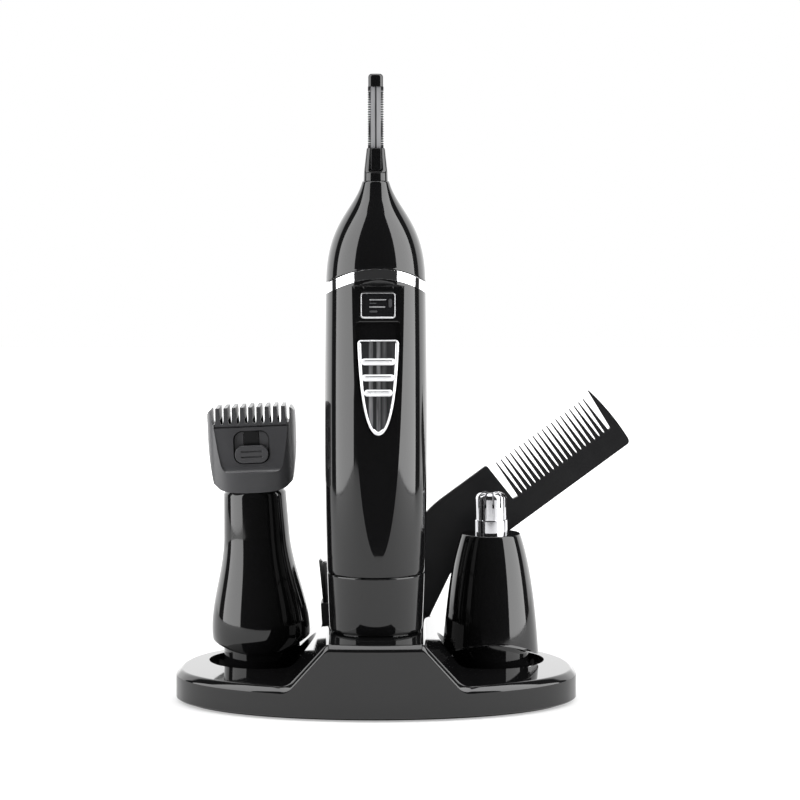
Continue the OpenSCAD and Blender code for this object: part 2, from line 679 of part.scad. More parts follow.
// beard head
beard_out = concat([[13, 3.4], [13.3, 11.3]], bez([13.3, 11.3], [13.3, 17.7], [7.65, 34.2], [8.4, 44], 20));
beard_in = concat([[collar_r - 1.2, collar_l + 1]], bez([13.2 - head_wall, 12], [13.2 - head_wall, 17.7], [7.5 - head_wall, 34.2], [8.4 - head_wall, 44], 14));
neck_top = 48.6;
blade_half = 8.8;
guide_z = 48;
guide_top = 70.6;
plate_top = 65.4;
plate_bot = 53.2;
module beard_housing() {
  color(black) at_beard() union() {
    head_shell(concat([[0, 3.4]], beard_out, [[8.4, neck_top], [0, neck_top]]),
      concat([[0, collar_l + 1]], beard_in, [[8.4 - head_wall, neck_top + 1], [0, neck_top + 1]]), 90);
  }
}
module beard_blade_block() {
  color(dark) at_beard() difference() {
    union() {
      rod(8.3 - head_wall, neck_top - 4, neck_top + 0.5);
      front(-2.4, 4.4) polygon([[-7.8, neck_top], [7.8, neck_top], [blade_half, neck_top + 4], [blade_half, plate_top - 3.5],
        [-blade_half, plate_top - 3.5], [-blade_half, neck_top + 4]]);
    }
    rod(2.7, neck_top - 6, neck_top + 8);
    translate([-blade_half + 0.7, -3, neck_top + 6]) cube([2 * blade_half - 1.4, 4.2, 20]);
    translate([-2.3, -1.4, neck_top]) cube([4.6, 2.8, 10]);
    translate([-20, -3, neck_top + 4]) cube([40, 1.4, 30]);
  }
}
function comb_line(w, base, tip, n, share) = let (p = w / n)
  [for (i = [0 : n - 1]) each [[-w / 2 + (i + 0.02) * p, base], [-w / 2 + (i + 0.5 - share / 2 + 0.08) * p, tip],
    [-w / 2 + (i + 0.5 + share / 2 - 0.08) * p, tip], [-w / 2 + (i + 0.98) * p, base]]];
module beard_fixed_blade() {
  color(steel) at_beard() front(-2.4, -1.65)
    polygon(concat([[blade_half, plate_top - 9], [-blade_half, plate_top - 9]], comb_line(2 * blade_half, plate_top - 2, plate_top + 0.6, 20, 0.6)));
}
module beard_moving_blade() {
  color(steel) at_beard() front(-1.6, -0.9)
    polygon(concat([[blade_half - 1.9, plate_top - 8], [1.9 - blade_half, plate_top - 8]],
      comb_line(2 * blade_half - 3.8, plate_top - 2, plate_top + 0.3, 16, 0.6)));
}
module beard_drive_lever() {
  color([0.85, 0.85, 0.83]) at_beard() union() {
    difference() {
      rod(crank_r + 2.1, 0.9, 4.6);
      rod(crank_r + 1.2, 0, 3.6);
    }
    rod(1.3, 4.5, neck_top + 7);
    translate([-1.2, -0.88, neck_top + 6]) cube([2.4, 1.6, 8]);
  }
}
module guide_plan(g) {
  polygon([for (i = [0 : 59]) let (a = 6 * i)
    [(guide_w / 2 - g) * spow(cos(a), 0.74), (guide_d / 2 - g) * spow(sin(a), 0.74)]]);
}
module guide_view(g) {
  w = guide_w / 2 - g;
  polygon(concat([[-w + 3.3, guide_z], [w - 3.3, guide_z], [w - 1.2, guide_z + 1.6], [w, guide_z + 16], [w, guide_top - 4.5]],
    arc([w - 2.2, guide_top - 2.2], 2.2, 0, 90, 4), arc([-w + 2.2, guide_top - 2.2], 2.2, 90, 180, 4),
    [[-w, guide_top - 4.5], [-w, guide_z + 16], [-w + 1.2, guide_z + 1.6]]));
}
guide_front = guide_d / 2 - 2.5;
plate_lean = 0.11;
module guide_comb() {
  pitch = (guide_w - 4) / guide_teeth;
  color(dark) at_beard() difference() {
    intersection() {
      translate([0, 0, guide_z]) linear_extrude(30) guide_plan(0);
      front(-20, 20) guide_view(0);
    }
    // room for the blade block and the neck
    intersection() {
      translate([0, 0, guide_z - 1]) linear_extrude(plate_top + 3 - guide_z) guide_plan(1.2);
      translate([-blade_half - 0.3, -guide_front + 1.1, guide_z - 1]) cube([2 * blade_half + 0.6, 30, 30]);
    }
    rod(8.6, guide_z - 1, guide_z + 3);
    // flat front, framed by the two cheeks
    front_w = guide_w - 4;
    across(front_w) polygon([[-20, plate_bot], [-guide_d / 2 - 0.1, plate_bot], [-guide_front - 0.9, plate_bot + 1.6],
      [-guide_front - 0.7, plate_bot + 3], [-guide_front, plate_top], [-guide_front + 0.6, guide_top + 1], [-20, guide_top + 1]]);
    // gaps between the teeth
    for (i = [0 : guide_teeth]) translate([-front_w / 2 + i * pitch, 0, 0])
      front(-20, 20) polygon([[-0.38, plate_top + 0.9], [0.38, plate_top + 0.9], [0.62, guide_top + 1], [-0.62, guide_top + 1]]);
    // the latch's recess
    translate([0, -guide_front - 0.2, 0]) front(-3, 0.75) translate([0, plate_top - 5.4]) rounded(9.6, 8.8, 2.4);
    front(-20, 0) translate([0, plate_top - 4]) rounded(4.3, 5.8, 0.3);
  }
}
module guide_latch() {
  color(dark) at_beard() difference() {
    union() {
      translate([0, -guide_front - 0.2, 0]) front(-0.9, 0.65) translate([0, plate_top - 7.25]) rounded(9.2, 4.7, 2.2);
      translate([-2, -guide_front + 0.3, plate_top - 6.5]) cube([4, 0.75, 3.2]);
      translate([-2, -guide_front - 0.6, plate_top - 6.5]) cube([4, 1.2, 3.2]);
    }
    for (k = [-0.7, 0.75]) translate([0, -guide_front - 1.1, plate_top - 7.25 + k]) cube([5.6, 0.6, 0.35], center = true);
  }
}

// ---- hair comb: seen from the front, along and across its spine ----
block_l = 25.6;
tooth_root = 0.95;
tooth_tip = 0.5;
comb_reach = block_l + 2.2 + comb_teeth * comb_pitch;
module comb_view() {
  teeth = [for (i = [comb_teeth - 1 : -1 : 0]) let (s = block_l + 1.9 + (i + 0.5) * comb_pitch)
    each [[s + tooth_root / 2, spine_h], [s + tooth_tip / 2, comb_w - 1], [s - tooth_tip / 2, comb_w - 1], [s - tooth_root / 2, spine_h]]];
  end = comb_reach;
  polygon(concat([[0, 0], [end + 0.8, 0]],
    bez([end + 1.8, 0.2], [end + 4.2, 1.2], [end + 4, 10], [end + 1.9, comb_w], 12),
    [[end + 0.9, comb_w - 0.1], [end + 0.2, spine_h]], teeth,
    [[block_l + 0.3, spine_h], [block_l + 0.1, comb_w - 0.7], [block_l - 0.6, comb_w]],
    bez([12, comb_w], [2, comb_w + 0.2], [-2.2, 15.4], [-4.9, 9.7], 12)));
}
module hair_comb() {
  color(black) difference() {
    union() {
      at_comb() rotate([0, -comb_rise, 0]) front(-comb_t / 2, comb_t / 2) comb_view();
      comb_stem(0, 0.6);
    }
    // rounded foot
    at_comb() rotate([0, 90 - comb_stem_rise, 0]) for (x = [0, -comb_stem_w])
      translate([x, 0, -comb_stem_l]) rotate([90, 45, 0]) cube([2.6, 2.6, 10], center = true);
  }
}

// ---- cleaning brush ----
brush_head = 5.2;
tuft_l = 11.4;
module brush_handle() {
  color(black) union() {
    brush_stem(0, 0);
    at_brush() translate([-brush_t / 2, -brush_w / 2, -0.5]) cube([brush_t, brush_w, brush_head + 0.5]);
  }
}
module brush_bristles() {
  color(dark) at_brush() front(-brush_w / 2 + 0.5, brush_w / 2 - 0.5)
    polygon([[-0.8, brush_head], [0.8, brush_head], [1.2, brush_head + tuft_l - 1.4], [-1.2, brush_head + tuft_l]]);
}

stand_base();
stand_bottom_plate();
anti_slip_pad();
stand_screws();
at_handle() handle_barrel();
at_handle() trim_ring();
at_handle() lamp_frame();
at_handle() lamp_lens();
at_handle() led();
at_handle() seal_ring();
at_handle() chassis();
at_handle() battery_cell();
at_handle() positive_contact();
at_handle() negative_strip();
at_handle() switch_strip();
at_handle() motor_can();
at_handle() motor_shaft();
at_handle() drive_coupling();
at_handle() battery_cap();
at_handle() cap_contact();
at_handle() battery_spring();
at_handle() slide_button();
at_handle() button_trim();
at_handle() switch_slider();
brow_housing();
brow_carrier();
brow_fixed_blades();
brow_tip_cap();
brow_moving_blade();
brow_drive_rod();
nose_housing();
nose_guard();
nose_rotor();
nose_shaft();
beard_housing();
beard_blade_block();
beard_fixed_blade();
beard_moving_blade();
beard_drive_lever();
guide_comb();
guide_latch();
hair_comb();
brush_handle();
brush_bristles();
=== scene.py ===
import math
import random

import bmesh
import bpy
from mathutils import Matrix, Vector


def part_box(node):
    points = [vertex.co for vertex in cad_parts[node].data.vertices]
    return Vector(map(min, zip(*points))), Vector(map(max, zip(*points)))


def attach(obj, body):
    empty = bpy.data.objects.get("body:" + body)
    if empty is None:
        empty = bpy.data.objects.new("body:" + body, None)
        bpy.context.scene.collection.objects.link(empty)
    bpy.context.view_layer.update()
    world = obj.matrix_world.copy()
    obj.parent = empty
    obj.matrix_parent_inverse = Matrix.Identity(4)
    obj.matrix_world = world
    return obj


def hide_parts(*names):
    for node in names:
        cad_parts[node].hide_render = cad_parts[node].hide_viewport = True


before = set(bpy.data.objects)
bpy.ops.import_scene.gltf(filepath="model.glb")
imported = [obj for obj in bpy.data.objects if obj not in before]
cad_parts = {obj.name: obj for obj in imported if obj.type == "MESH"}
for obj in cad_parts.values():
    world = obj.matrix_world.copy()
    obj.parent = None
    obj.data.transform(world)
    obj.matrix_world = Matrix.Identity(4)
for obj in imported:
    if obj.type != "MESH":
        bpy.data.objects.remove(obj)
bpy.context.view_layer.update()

MM = 0.001
random.seed(7)


# ---- places, from the frame (mm)
def box(node):
    lo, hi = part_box(node)
    return lo / MM, hi / MM


STAND_LO, STAND_HI = box("stand_base")
CAP_LO, CAP_HI = box("battery_cap")
BARREL_HI = box("handle_barrel")[1]
BROW_LO = box("brow_housing")[0]
NOSE_LO, NOSE_HI = box("nose_housing")

HANDLE_X = (CAP_LO.x + CAP_HI.x) / 2
HANDLE_Y = (CAP_LO.y + CAP_HI.y) / 2
SEAM_Z = CAP_HI.z
RING_TOP = BARREL_HI.z
RING_H = 2.7
HANDLE_TURN = math.radians(3.5)
BEARD_LEAN = math.radians(2.4)
WELL_X = (NOSE_LO.x + NOSE_HI.x) / 2
WELL_Y = (NOSE_LO.y + NOSE_HI.y) / 2
WELL_R = 14.4
WELL_Z = NOSE_LO.z - 0.05
COLLAR_R = 10.2
COLLAR_L = 8.1
SADDLE_R = 22.4
BODY_R = 13.4
SOCKET_R = 11.05
ARM_H = 8.4

AT_HANDLE = Matrix.Translation((HANDLE_X, HANDLE_Y, 0)) @ Matrix.Rotation(HANDLE_TURN, 4, "Z")
AT_BROW = AT_HANDLE @ Matrix.Translation((0, 0, BROW_LO.z))
AT_NOSE = Matrix.Translation((WELL_X, WELL_Y, NOSE_LO.z))
BEARD_LIFT = 0.05 + COLLAR_R * math.sin(BEARD_LEAN)
AT_BEARD = (Matrix.Translation((-WELL_X, WELL_Y, WELL_Z + BEARD_LIFT))
            @ Matrix.Rotation(-BEARD_LEAN, 4, "Y"))


# ---- materials
def put(node, socket, value):
    node.inputs[socket].default_value = value


def principled(name):
    mat = bpy.data.materials.new(name)
    mat.use_nodes = True
    return mat, mat.node_tree.nodes, mat.node_tree.links, mat.node_tree.nodes["Principled BSDF"]


def noise(nodes, links, scale, detail=3.0, stretch=None):
    coord = nodes.new("ShaderNodeTexCoord")
    tex = nodes.new("ShaderNodeTexNoise")
    put(tex, "Scale", scale)
    put(tex, "Detail", detail)
    if stretch:
        mapping = nodes.new("ShaderNodeMapping")
        put(mapping, "Scale", stretch)
        links.new(coord.outputs["Object"], mapping.inputs["Vector"])
        links.new(mapping.outputs["Vector"], tex.inputs["Vector"])
    else:
        links.new(coord.outputs["Object"], tex.inputs["Vector"])
    return tex.outputs["Fac"]


def remap(nodes, links, source, span, to=(0.0, 1.0), smooth=False):
    """A socket whose values run over span, brought to the range in to."""
    ramp = nodes.new("ShaderNodeMapRange")
    if smooth:
        ramp.interpolation_type = "SMOOTHSTEP"
    put(ramp, "From Min", span[0])
    put(ramp, "From Max", span[1])
    put(ramp, "To Min", to[0])
    put(ramp, "To Max", to[1])
    links.new(source, ramp.inputs["Value"])
    return ramp.outputs["Result"]


def spread(nodes, links, source, low, high):
    """The middle of a noise, stretched to low..high."""
    return remap(nodes, links, source, (0.3, 0.7), (low, high))


def product(nodes, links, a, b, add=None):
    """Two sockets multiplied, plus a number if one is given."""
    node = nodes.new("ShaderNodeMath")
    node.operation = "MULTIPLY" if add is None else "MULTIPLY_ADD"
    links.new(a, node.inputs[0])
    links.new(b, node.inputs[1])
    if add is not None:
        put(node, 2, add)
    return node.outputs[0]


def place(nodes, links, axis, kind="Object"):
    """One axis of the object's own coordinates."""
    coord = nodes.new("ShaderNodeTexCoord")
    split = nodes.new("ShaderNodeSeparateXYZ")
    links.new(coord.outputs[kind], split.inputs[0])
    return split.outputs[axis]


def tint(nodes, links, source, dark, light):
    mix = nodes.new("ShaderNodeMix")
    mix.data_type = "RGBA"
    put(mix, "A", (*dark, 1))
    put(mix, "B", (*light, 1))
    links.new(source, mix.inputs["Factor"])
    return mix.outputs["Result"]


def bump(nodes, links, bsdf, source, distance, strength=1.0):
    node = nodes.new("ShaderNodeBump")
    put(node, "Distance", distance * MM)
    put(node, "Strength", strength)
    links.new(source, node.inputs["Height"])
    links.new(node.outputs["Normal"], bsdf.inputs["Normal"])


def moulded(name, dark, light, rough, grain=900.0, depth=0.01):
    """Moulded plastic: faint flow marks in its colour, a little variation in gloss, and fine grain."""
    mat, nodes, links, bsdf = principled(name)
    flow = noise(nodes, links, 60.0)
    links.new(tint(nodes, links, flow, dark, light), bsdf.inputs["Base Color"])
    wipe = noise(nodes, links, 140.0, 4.0)
    links.new(spread(nodes, links, wipe, rough * 0.85, rough * 1.2), bsdf.inputs["Roughness"])
    fine = noise(nodes, links, grain, 2.0)
    bump(nodes, links, bsdf, fine, depth)
    return mat


def metal(name, dark, light, rough, stretch=None, depth=0.004, scale=500.0):
    """Metal: bright, with ground or polishing marks that run one way when stretch says so."""
    mat, nodes, links, bsdf = principled(name)
    put(bsdf, "Metallic", 1.0)
    marks = noise(nodes, links, scale, 4.0, stretch)
    links.new(tint(nodes, links, marks, dark, light), bsdf.inputs["Base Color"])
    links.new(spread(nodes, links, marks, rough * 0.8, rough * 1.25), bsdf.inputs["Roughness"])
    bump(nodes, links, bsdf, marks, depth)
    return mat


GLOSS = moulded("gloss_black", (0.0035, 0.0035, 0.0037), (0.0052, 0.0052, 0.0055), 0.05, 260.0, 0.0012)
SATIN = moulded("satin_grey", (0.042, 0.042, 0.045), (0.055, 0.055, 0.058), 0.34, 1500.0, 0.012)
MATTE = moulded("matte_black", (0.004, 0.004, 0.0045), (0.008, 0.008, 0.009), 0.4, 1500.0, 0.012)
RUBBER = moulded("pad_rubber", (0.012, 0.012, 0.012), (0.022, 0.022, 0.022), 0.8, 2200.0, 0.03)
WHITE = moulded("white_plastic", (0.72, 0.72, 0.7), (0.8, 0.8, 0.78), 0.35, 1200.0, 0.01)
LAMP = moulded("lamp_white", (0.8, 0.8, 0.7), (0.9, 0.9, 0.82), 0.2, 1200.0, 0.005)
LENS = moulded("smoked_lens", (0.006, 0.006, 0.007), (0.012, 0.012, 0.013), 0.05, 300.0, 0.002)
JACKET = moulded("cell_jacket", (0.06, 0.07, 0.07), (0.1, 0.11, 0.11), 0.3, 800.0, 0.004)
FIBRE = moulded("bristle_fibre", (0.008, 0.008, 0.008), (0.02, 0.02, 0.02), 0.5, 3000.0, 0.01)
CHROME = metal("polished_chrome", (0.8, 0.8, 0.82), (0.9, 0.9, 0.92), 0.05, None, 0.0005, 200.0)
STEEL = metal("ground_steel", (0.5, 0.5, 0.52), (0.68, 0.68, 0.7), 0.22, (1, 1, 14), 0.002)
PLATED = metal("plated_steel", (0.5, 0.5, 0.49), (0.6, 0.6, 0.58), 0.3)
BRASS = metal("switch_brass", (0.6, 0.42, 0.16), (0.75, 0.56, 0.25), 0.3)


# places across the switch's panel, from its left edge to its right, and how bright the painted highlight is
# there
PANEL_HIGHLIGHTS = ((0.0, 0.02), (0.3, 0.04), (0.34, 0.9), (0.41, 0.8), (0.44, 0.05), (0.52, 0.05),
                 (0.55, 0.75), (0.62, 0.6), (0.66, 0.03), (0.76, 0.2), (0.84, 0.03), (1.0, 0.08))
PANEL_HALF = 4.5


def smoked_panel():
    """The switch's panel: smoky plastic with painted highlights, broken upright streaks that are brightest
    in two bands across it.
    """
    mat, nodes, links, bsdf = principled("smoked_panel")
    streak = noise(nodes, links, 900.0, 3.0, (1, 1, 0.12))
    band = noise(nodes, links, 300.0, 1.0, (1, 1, 0.05))
    broken = remap(nodes, links, product(nodes, links, streak, band), (0.04, 0.3))
    edges = ((HANDLE_X - PANEL_HALF) * MM, (HANDLE_X + PANEL_HALF) * MM)
    across = remap(nodes, links, place(nodes, links, "X"), edges)
    ramp = nodes.new("ShaderNodeValToRGB")
    stops = ramp.color_ramp.elements
    for k, (where, glow) in enumerate(PANEL_HIGHLIGHTS):
        stop = stops[k] if k < 2 else stops.new(where)
        stop.position = where
        stop.color = (glow, glow, glow, 1)
    links.new(across, ramp.inputs["Fac"])
    # painted highlight: the streaks are lit only where the bands across the panel say
    light = product(nodes, links, broken, ramp.outputs["Color"])
    colour = tint(nodes, links, light, (0.012, 0.012, 0.013), (0.34, 0.34, 0.35))
    links.new(colour, bsdf.inputs["Base Color"])
    put(bsdf, "Roughness", 0.18)
    bump(nodes, links, bsdf, streak, 0.01)
    return mat


PANEL = smoked_panel()
TRIM = metal("bright_trim", (0.86, 0.86, 0.88), (0.95, 0.95, 0.97), 0.24, None, 0.0005, 300.0)
TRIM_DIM = metal("dull_trim", (0.36, 0.36, 0.37), (0.44, 0.44, 0.45), 0.24, None, 0.0005, 300.0)
STRIP = metal("brushed_strip", (0.27, 0.27, 0.28), (0.4, 0.4, 0.41), 0.42, (1, 1, 0.05), 0.001, 1500.0)
DARK_STEEL = metal("dark_steel", (0.06, 0.06, 0.062), (0.12, 0.12, 0.124), 0.45, (1, 1, 14), 0.002)
NICKEL = metal("nickel", (0.56, 0.56, 0.58), (0.7, 0.7, 0.72), 0.1, None, 0.0005, 250.0)
# trims are plated plastic and the strips are lacquered, so they aren't all mirror
for mat, socket, value in ((TRIM, "Metallic", 0.35), (TRIM_DIM, "Metallic", 0.35), (STRIP, "Metallic", 0.3),
                           (MATTE, "Specular IOR Level", 0.28)):
    mat.node_tree.nodes["Principled BSDF"].inputs[socket].default_value = value


# ---- mesh tools (points in mm)
def arc(cx, cy, r, a0, a1, n):
    """Points on an arc, angles in degrees."""
    turn = [math.radians(a0 + (a1 - a0) * i / n) for i in range(n + 1)]
    return [(cx + r * math.cos(a), cy + r * math.sin(a)) for a in turn]


def bezier(a, b, c, d, n):
    out = []
    for i in range(n + 1):
        t = i / n
        s = 1 - t
        w = (s * s * s, 3 * s * s * t, 3 * s * t * t, t * t * t)
        out.append(tuple(sum(k * p[j] for k, p in zip(w, (a, b, c, d))) for j in (0, 1)))
    return out


def as_object(name, bm, where=Matrix()):
    """Turns a mesh in mm into an object in metres."""
    bmesh.ops.recalc_face_normals(bm, faces=bm.faces)
    mesh = bpy.data.meshes.new(name)
    bm.to_mesh(mesh)
    bm.free()
    mesh.transform(Matrix.Scale(MM, 4) @ where)
    obj = bpy.data.objects.new(name, mesh)
    bpy.context.scene.collection.objects.link(obj)
    return obj


def piece(name, bm, mat, body, where=Matrix(), replaces=(), smooth=True):
    """A visible piece that rides on a body."""
    bmesh.ops.remove_doubles(bm, verts=bm.verts, dist=1e-4)
    for f in bm.faces:
        f.smooth = smooth
    obj = as_object(name, bm, where)
    obj.data.materials.append(mat)
    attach(obj, body)
    if replaces:
        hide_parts(*replaces)
    return obj


def stack(rings, close_low=True, close_high=True):
    """A skin through rings of equally many points, each ring a list of (x, y, z)."""
    bm = bmesh.new()
    loops = [[bm.verts.new(p) for p in ring] for ring in rings]
    n = len(rings[0])
    for low, high in zip(loops, loops[1:]):
        for i in range(n):
            bm.faces.new((low[i], low[(i + 1) % n], high[(i + 1) % n], high[i]))
    if close_low:
        bm.faces.new(loops[0][::-1])
    if close_high:
        bm.faces.new(loops[-1])
    return bm


def ring(r, z, n=192):
    """A circle whose radius and height may be numbers or functions of the angle."""
    out = []
    for i in range(n):
        a = 2 * math.pi * i / n
        rr = r(a) if callable(r) else r
        zz = z(a) if callable(z) else z
        out.append((rr * math.cos(a), rr * math.sin(a), zz))
    return out


def lathe(profile, n=160):
    """A turned solid from (radius, height) points, closed on the axis at both ends."""
    return stack([ring(max(r, 0.02), z, n) for r, z in profile])


def band(loops):
    """A closed skin through loops of points, such as a frame's cross-section carried round."""
    bm = bmesh.new()
    rows = [[bm.verts.new(p) for p in loop] for loop in loops]
    n = len(rows[0])
    for a, b in zip(rows, rows[1:] + rows[:1]):
        for j in range(n):
            bm.faces.new((a[j], a[(j + 1) % n], b[(j + 1) % n], b[j]))
    return bm


def prism(outline, y0, y1):
    """A front view, (x, z) points, carried from y0 to y1."""
    bm = bmesh.new()
    near = [bm.verts.new((x, y0, z)) for x, z in outline]
    far = [bm.verts.new((x, y1, z)) for x, z in outline]
    n = len(outline)
    for i in range(n):
        bm.faces.new((near[i], near[(i + 1) % n], far[(i + 1) % n], far[i]))
    bm.faces.new(near)
    bm.faces.new(far[::-1])
    return bm


def slab(outline, z0, z1):
    """A plan, (x, y) points, carried from z0 to z1."""
    bm = prism(outline, z0, z1)
    for v in bm.verts:
        v.co = (v.co.x, v.co.z, v.co.y)
    return bm


def round_box(w, h, r, n=6, cx=0.0, cz=0.0):
    """Outline of a rectangle with round corners."""
    x, z = w / 2 - r, h / 2 - r
    pts = (arc(x, z, r, 0, 90, n) + arc(-x, z, r, 90, 180, n)
           + arc(-x, -z, r, 180, 270, n) + arc(x, -z, r, 270, 360, n))
    return [(cx + p[0], cz + p[1]) for p in pts]


def block(x0, x1, y0, y1, z0, z1):
    return prism([(x0, z0), (x1, z0), (x1, z1), (x0, z1)], y0, y1)


def cutter(bm, where=Matrix()):
    """A helper solid for a boolean cut."""
    return as_object("cutter", bm, where)


def carve(obj, cutters, how="DIFFERENCE"):
    """Cuts the helpers out of obj, bakes the result into its mesh and removes them."""
    for c in cutters:
        mod = obj.modifiers.new("carve", "BOOLEAN")
        mod.operation = how
        mod.solver = "EXACT"
        mod.object = c
    bpy.context.view_layer.update()
    deps = bpy.context.evaluated_depsgraph_get()
    mesh = bpy.data.meshes.new_from_object(obj.evaluated_get(deps))
    obj.modifiers.clear()
    obj.data = mesh
    for c in cutters:
        bpy.data.objects.remove(c)
    return obj


def soften(obj, width, angle=40, segments=2, hard=False):
    """Small rounded edges with clean shading."""
    for p in obj.data.polygons:
        p.use_smooth = True
    bevel = obj.modifiers.new("edge", "BEVEL")
    bevel.limit_method = "ANGLE"
    bevel.angle_limit = math.radians(angle)
    bevel.width = width * MM
    bevel.segments = segments
    bevel.use_clamp_overlap = True
    bevel.miter_outer = "MITER_ARC"
    bevel.harden_normals = hard
    if not hard:
        shade = obj.modifiers.new("shade", "WEIGHTED_NORMAL")
        shade.keep_sharp = True
        shade.weight = 60
    return obj


def keep(node, mat, width=0.08, angle=32):
    """A CAD node that stays: its own shape, softened edges, a better material."""
    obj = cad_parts[node]
    obj.data.materials.clear()
    obj.data.materials.append(mat)
    weld = obj.modifiers.new("weld", "WELD")
    weld.merge_threshold = 1e-6
    if width:
        soften(obj, width, angle)
    return obj


# ---- stand
HALF_W = STAND_HI.x
FRONT_D = -STAND_LO.y
BACK_D = STAND_HI.y
DECK_H = STAND_HI.z
DECK_HALF = 12.5
RAMP_FOOT = 22.5
RAMP = math.atan2(DECK_H - ARM_H, RAMP_FOOT - DECK_HALF)
TOP_R, FOOT_R = 2.0, 4.0


def stand_height(x):
    """Height of the stand's top: deck, ramp and arm, with a crest and a hollow between them."""
    x = abs(x)
    crest = DECK_HALF - TOP_R * math.tan(RAMP / 2)
    foot = RAMP_FOOT + FOOT_R * math.tan(RAMP / 2)
    crest_end = crest + TOP_R * math.sin(RAMP)
    foot_start = foot - FOOT_R * math.sin(RAMP)
    if x <= crest:
        return DECK_H
    if x <= crest_end:
        return DECK_H - TOP_R + math.sqrt(TOP_R**2 - (x - crest) ** 2)
    if x >= foot:
        return ARM_H
    if x >= foot_start:
        return ARM_H + FOOT_R - math.sqrt(FOOT_R**2 - (x - foot) ** 2)
    z = DECK_H - TOP_R + TOP_R * math.cos(RAMP)
    return z - (x - crest_end) * math.tan(RAMP)


def stand_edge(a):
    """Point on the stand's plan and its outward direction, going round with the angle."""
    def at(t):
        c, s = math.cos(t), math.sin(t)
        if s >= 0:
            return Vector((HALF_W * math.copysign(abs(c) ** 0.84, c), BACK_D * abs(s) ** 0.84))
        return Vector((HALF_W * c, FRONT_D * s))
    p = at(a)
    along = at(a + 1e-3) - at(a - 1e-3)
    return p, Vector((along.y, -along.x)).normalized()


FINE_FROM, FINE_TO = 11, 26
TIP_L = 1.2
TOP_ROWS = 12
# how far in and down the softened chamfer round the top edge goes, step by step
TOP_EDGE = ((0, 1.75), (0.03, 1.5), (0.12, 1.27), (0.27, 1.07), (0.6, 0.72), (0.95, 0.38),
            (1.15, 0.22), (1.38, 0.08), (1.62, 0.02), (1.8, 0))


def stand_columns():
    """Places across one half of the stand, closer together on the ramp and at the tip."""
    xs = {0.0}
    step = 0.0
    while step < HALF_W - TIP_L - 0.1:
        step += 0.35 if FINE_FROM < step < FINE_TO else 0.9
        xs.add(round(step, 3))
    xs = {x for x in xs if x < HALF_W - TIP_L}
    tail = {HALF_W - TIP_L * (1 - math.sin(math.pi / 2 * k / 8)) ** 2 for k in range(1, 8)}
    return sorted(xs | tail)


def edge_angle(x, back):
    """Angle on the plan at which its front or back edge reaches x."""
    lo, hi = (0.0, math.pi / 2) if back else (-math.pi / 2, 0.0)
    for _ in range(50):
        mid = (lo + hi) / 2
        bigger = stand_edge(mid)[0].x > x
        if bigger == back:
            lo = mid
        else:
            hi = mid
    return (lo + hi) / 2


def cover_top(bm, top, count):
    """The stand's top: strips from the front edge to the back edge at each place across."""
    back = top[0: 2 * count]
    front = [top[0]] + top[:2 * count:-1][:2 * count - 1]
    columns = []
    for b, f in zip(back, front):
        if b is f:
            columns.append([b] * (TOP_ROWS + 1))
            continue
        line = [f]
        for k in range(1, TOP_ROWS):
            p = f.co.lerp(b.co, k / TOP_ROWS)
            line.append(bm.verts.new((p.x, p.y, stand_height(p.x))))
        columns.append(line + [b])
    columns.append([top[2 * count]] * (TOP_ROWS + 1))
    for c0, c1 in zip(columns, columns[1:]):
        for k in range(TOP_ROWS):
            corners = []
            for v in (c0[k], c0[k + 1], c1[k + 1], c1[k]):
                if v not in corners:
                    corners.append(v)
            if len(corners) > 2:
                bm.faces.new(corners)


def stand_mesh():
    xs = stand_columns()
    back = [edge_angle(x, True) for x in xs]
    front = [edge_angle(x, False) for x in xs]
    order = ([0.0] + back[::-1] + [math.pi - a for a in back[1:]] + [math.pi]
             + [math.pi - a for a in front[::-1]] + [2 * math.pi + a for a in front[1:]])
    rim = [stand_edge(a) for a in order]

    def edge_ring(inset, drop, z=None):
        out = []
        for p, n in rim:
            q = p - n * inset
            out.append((q.x, q.y, z if z is not None else stand_height(q.x) - drop))
        return out

    low = STAND_LO.z
    sides = ((1.4, 1.65), (1.4, 0.1), (1.2, 0), (0.3, 0), (0, 0.3), (0, 2))
    rings = [edge_ring(inset, 0, low + up) for inset, up in sides]
    rings.append(edge_ring(0, 0, ARM_H - 2.6))
    rings += [edge_ring(inset, drop) for inset, drop in TOP_EDGE]
    bm = stack(rings, close_low=True, close_high=False)
    bm.verts.ensure_lookup_table()
    n = len(rim)
    start = (len(rings) - 1) * n
    cover_top(bm, [bm.verts[start + i] for i in range(n)], len(xs))
    return bm


def build_stand():
    obj = piece("stand_shell", stand_mesh(), GLOSS, "stand", replaces=("stand_base",))
    cuts = []
    for side in (-1, 1):
        well = lathe([(0, WELL_Z), (WELL_R, WELL_Z), (WELL_R, 30), (0, 30)])
        cuts.append(cutter(well, Matrix.Translation((side * WELL_X, WELL_Y, 0))))
    floor = CAP_LO.z - 0.1
    socket = lathe([(0, floor), (SOCKET_R, floor), (SOCKET_R, 30), (0, 30)])
    cuts.append(cutter(socket, Matrix.Translation((HANDLE_X, HANDLE_Y, 0))))
    cuts.append(cutter(block(-11.3, 0.3, -1.3, 1.3, -22.5, 12), AT_COMB_STEM))
    cuts.append(cutter(block(-1.5, 1.5, -4.2, 4.2, -10, 12), AT_BRUSH))
    carve(obj, cuts)
    soften(obj, 0.25, 40, 2)
    boss = ((8.4, -0.3), (8.4, 2.2), (8.2, 2.4), (7.1, 2.4), (6.9, 2.2), (6.9, -0.3))
    for side, name in ((-1, "left"), (1, "right")):
        bm = stack([ring(r, WELL_Z + up) for r, up in boss])
        where = Matrix.Translation((side * WELL_X, WELL_Y, 0))
        soften(piece(f"well_boss_{name}", bm, GLOSS, "stand", where), 0.05, 40, 1)


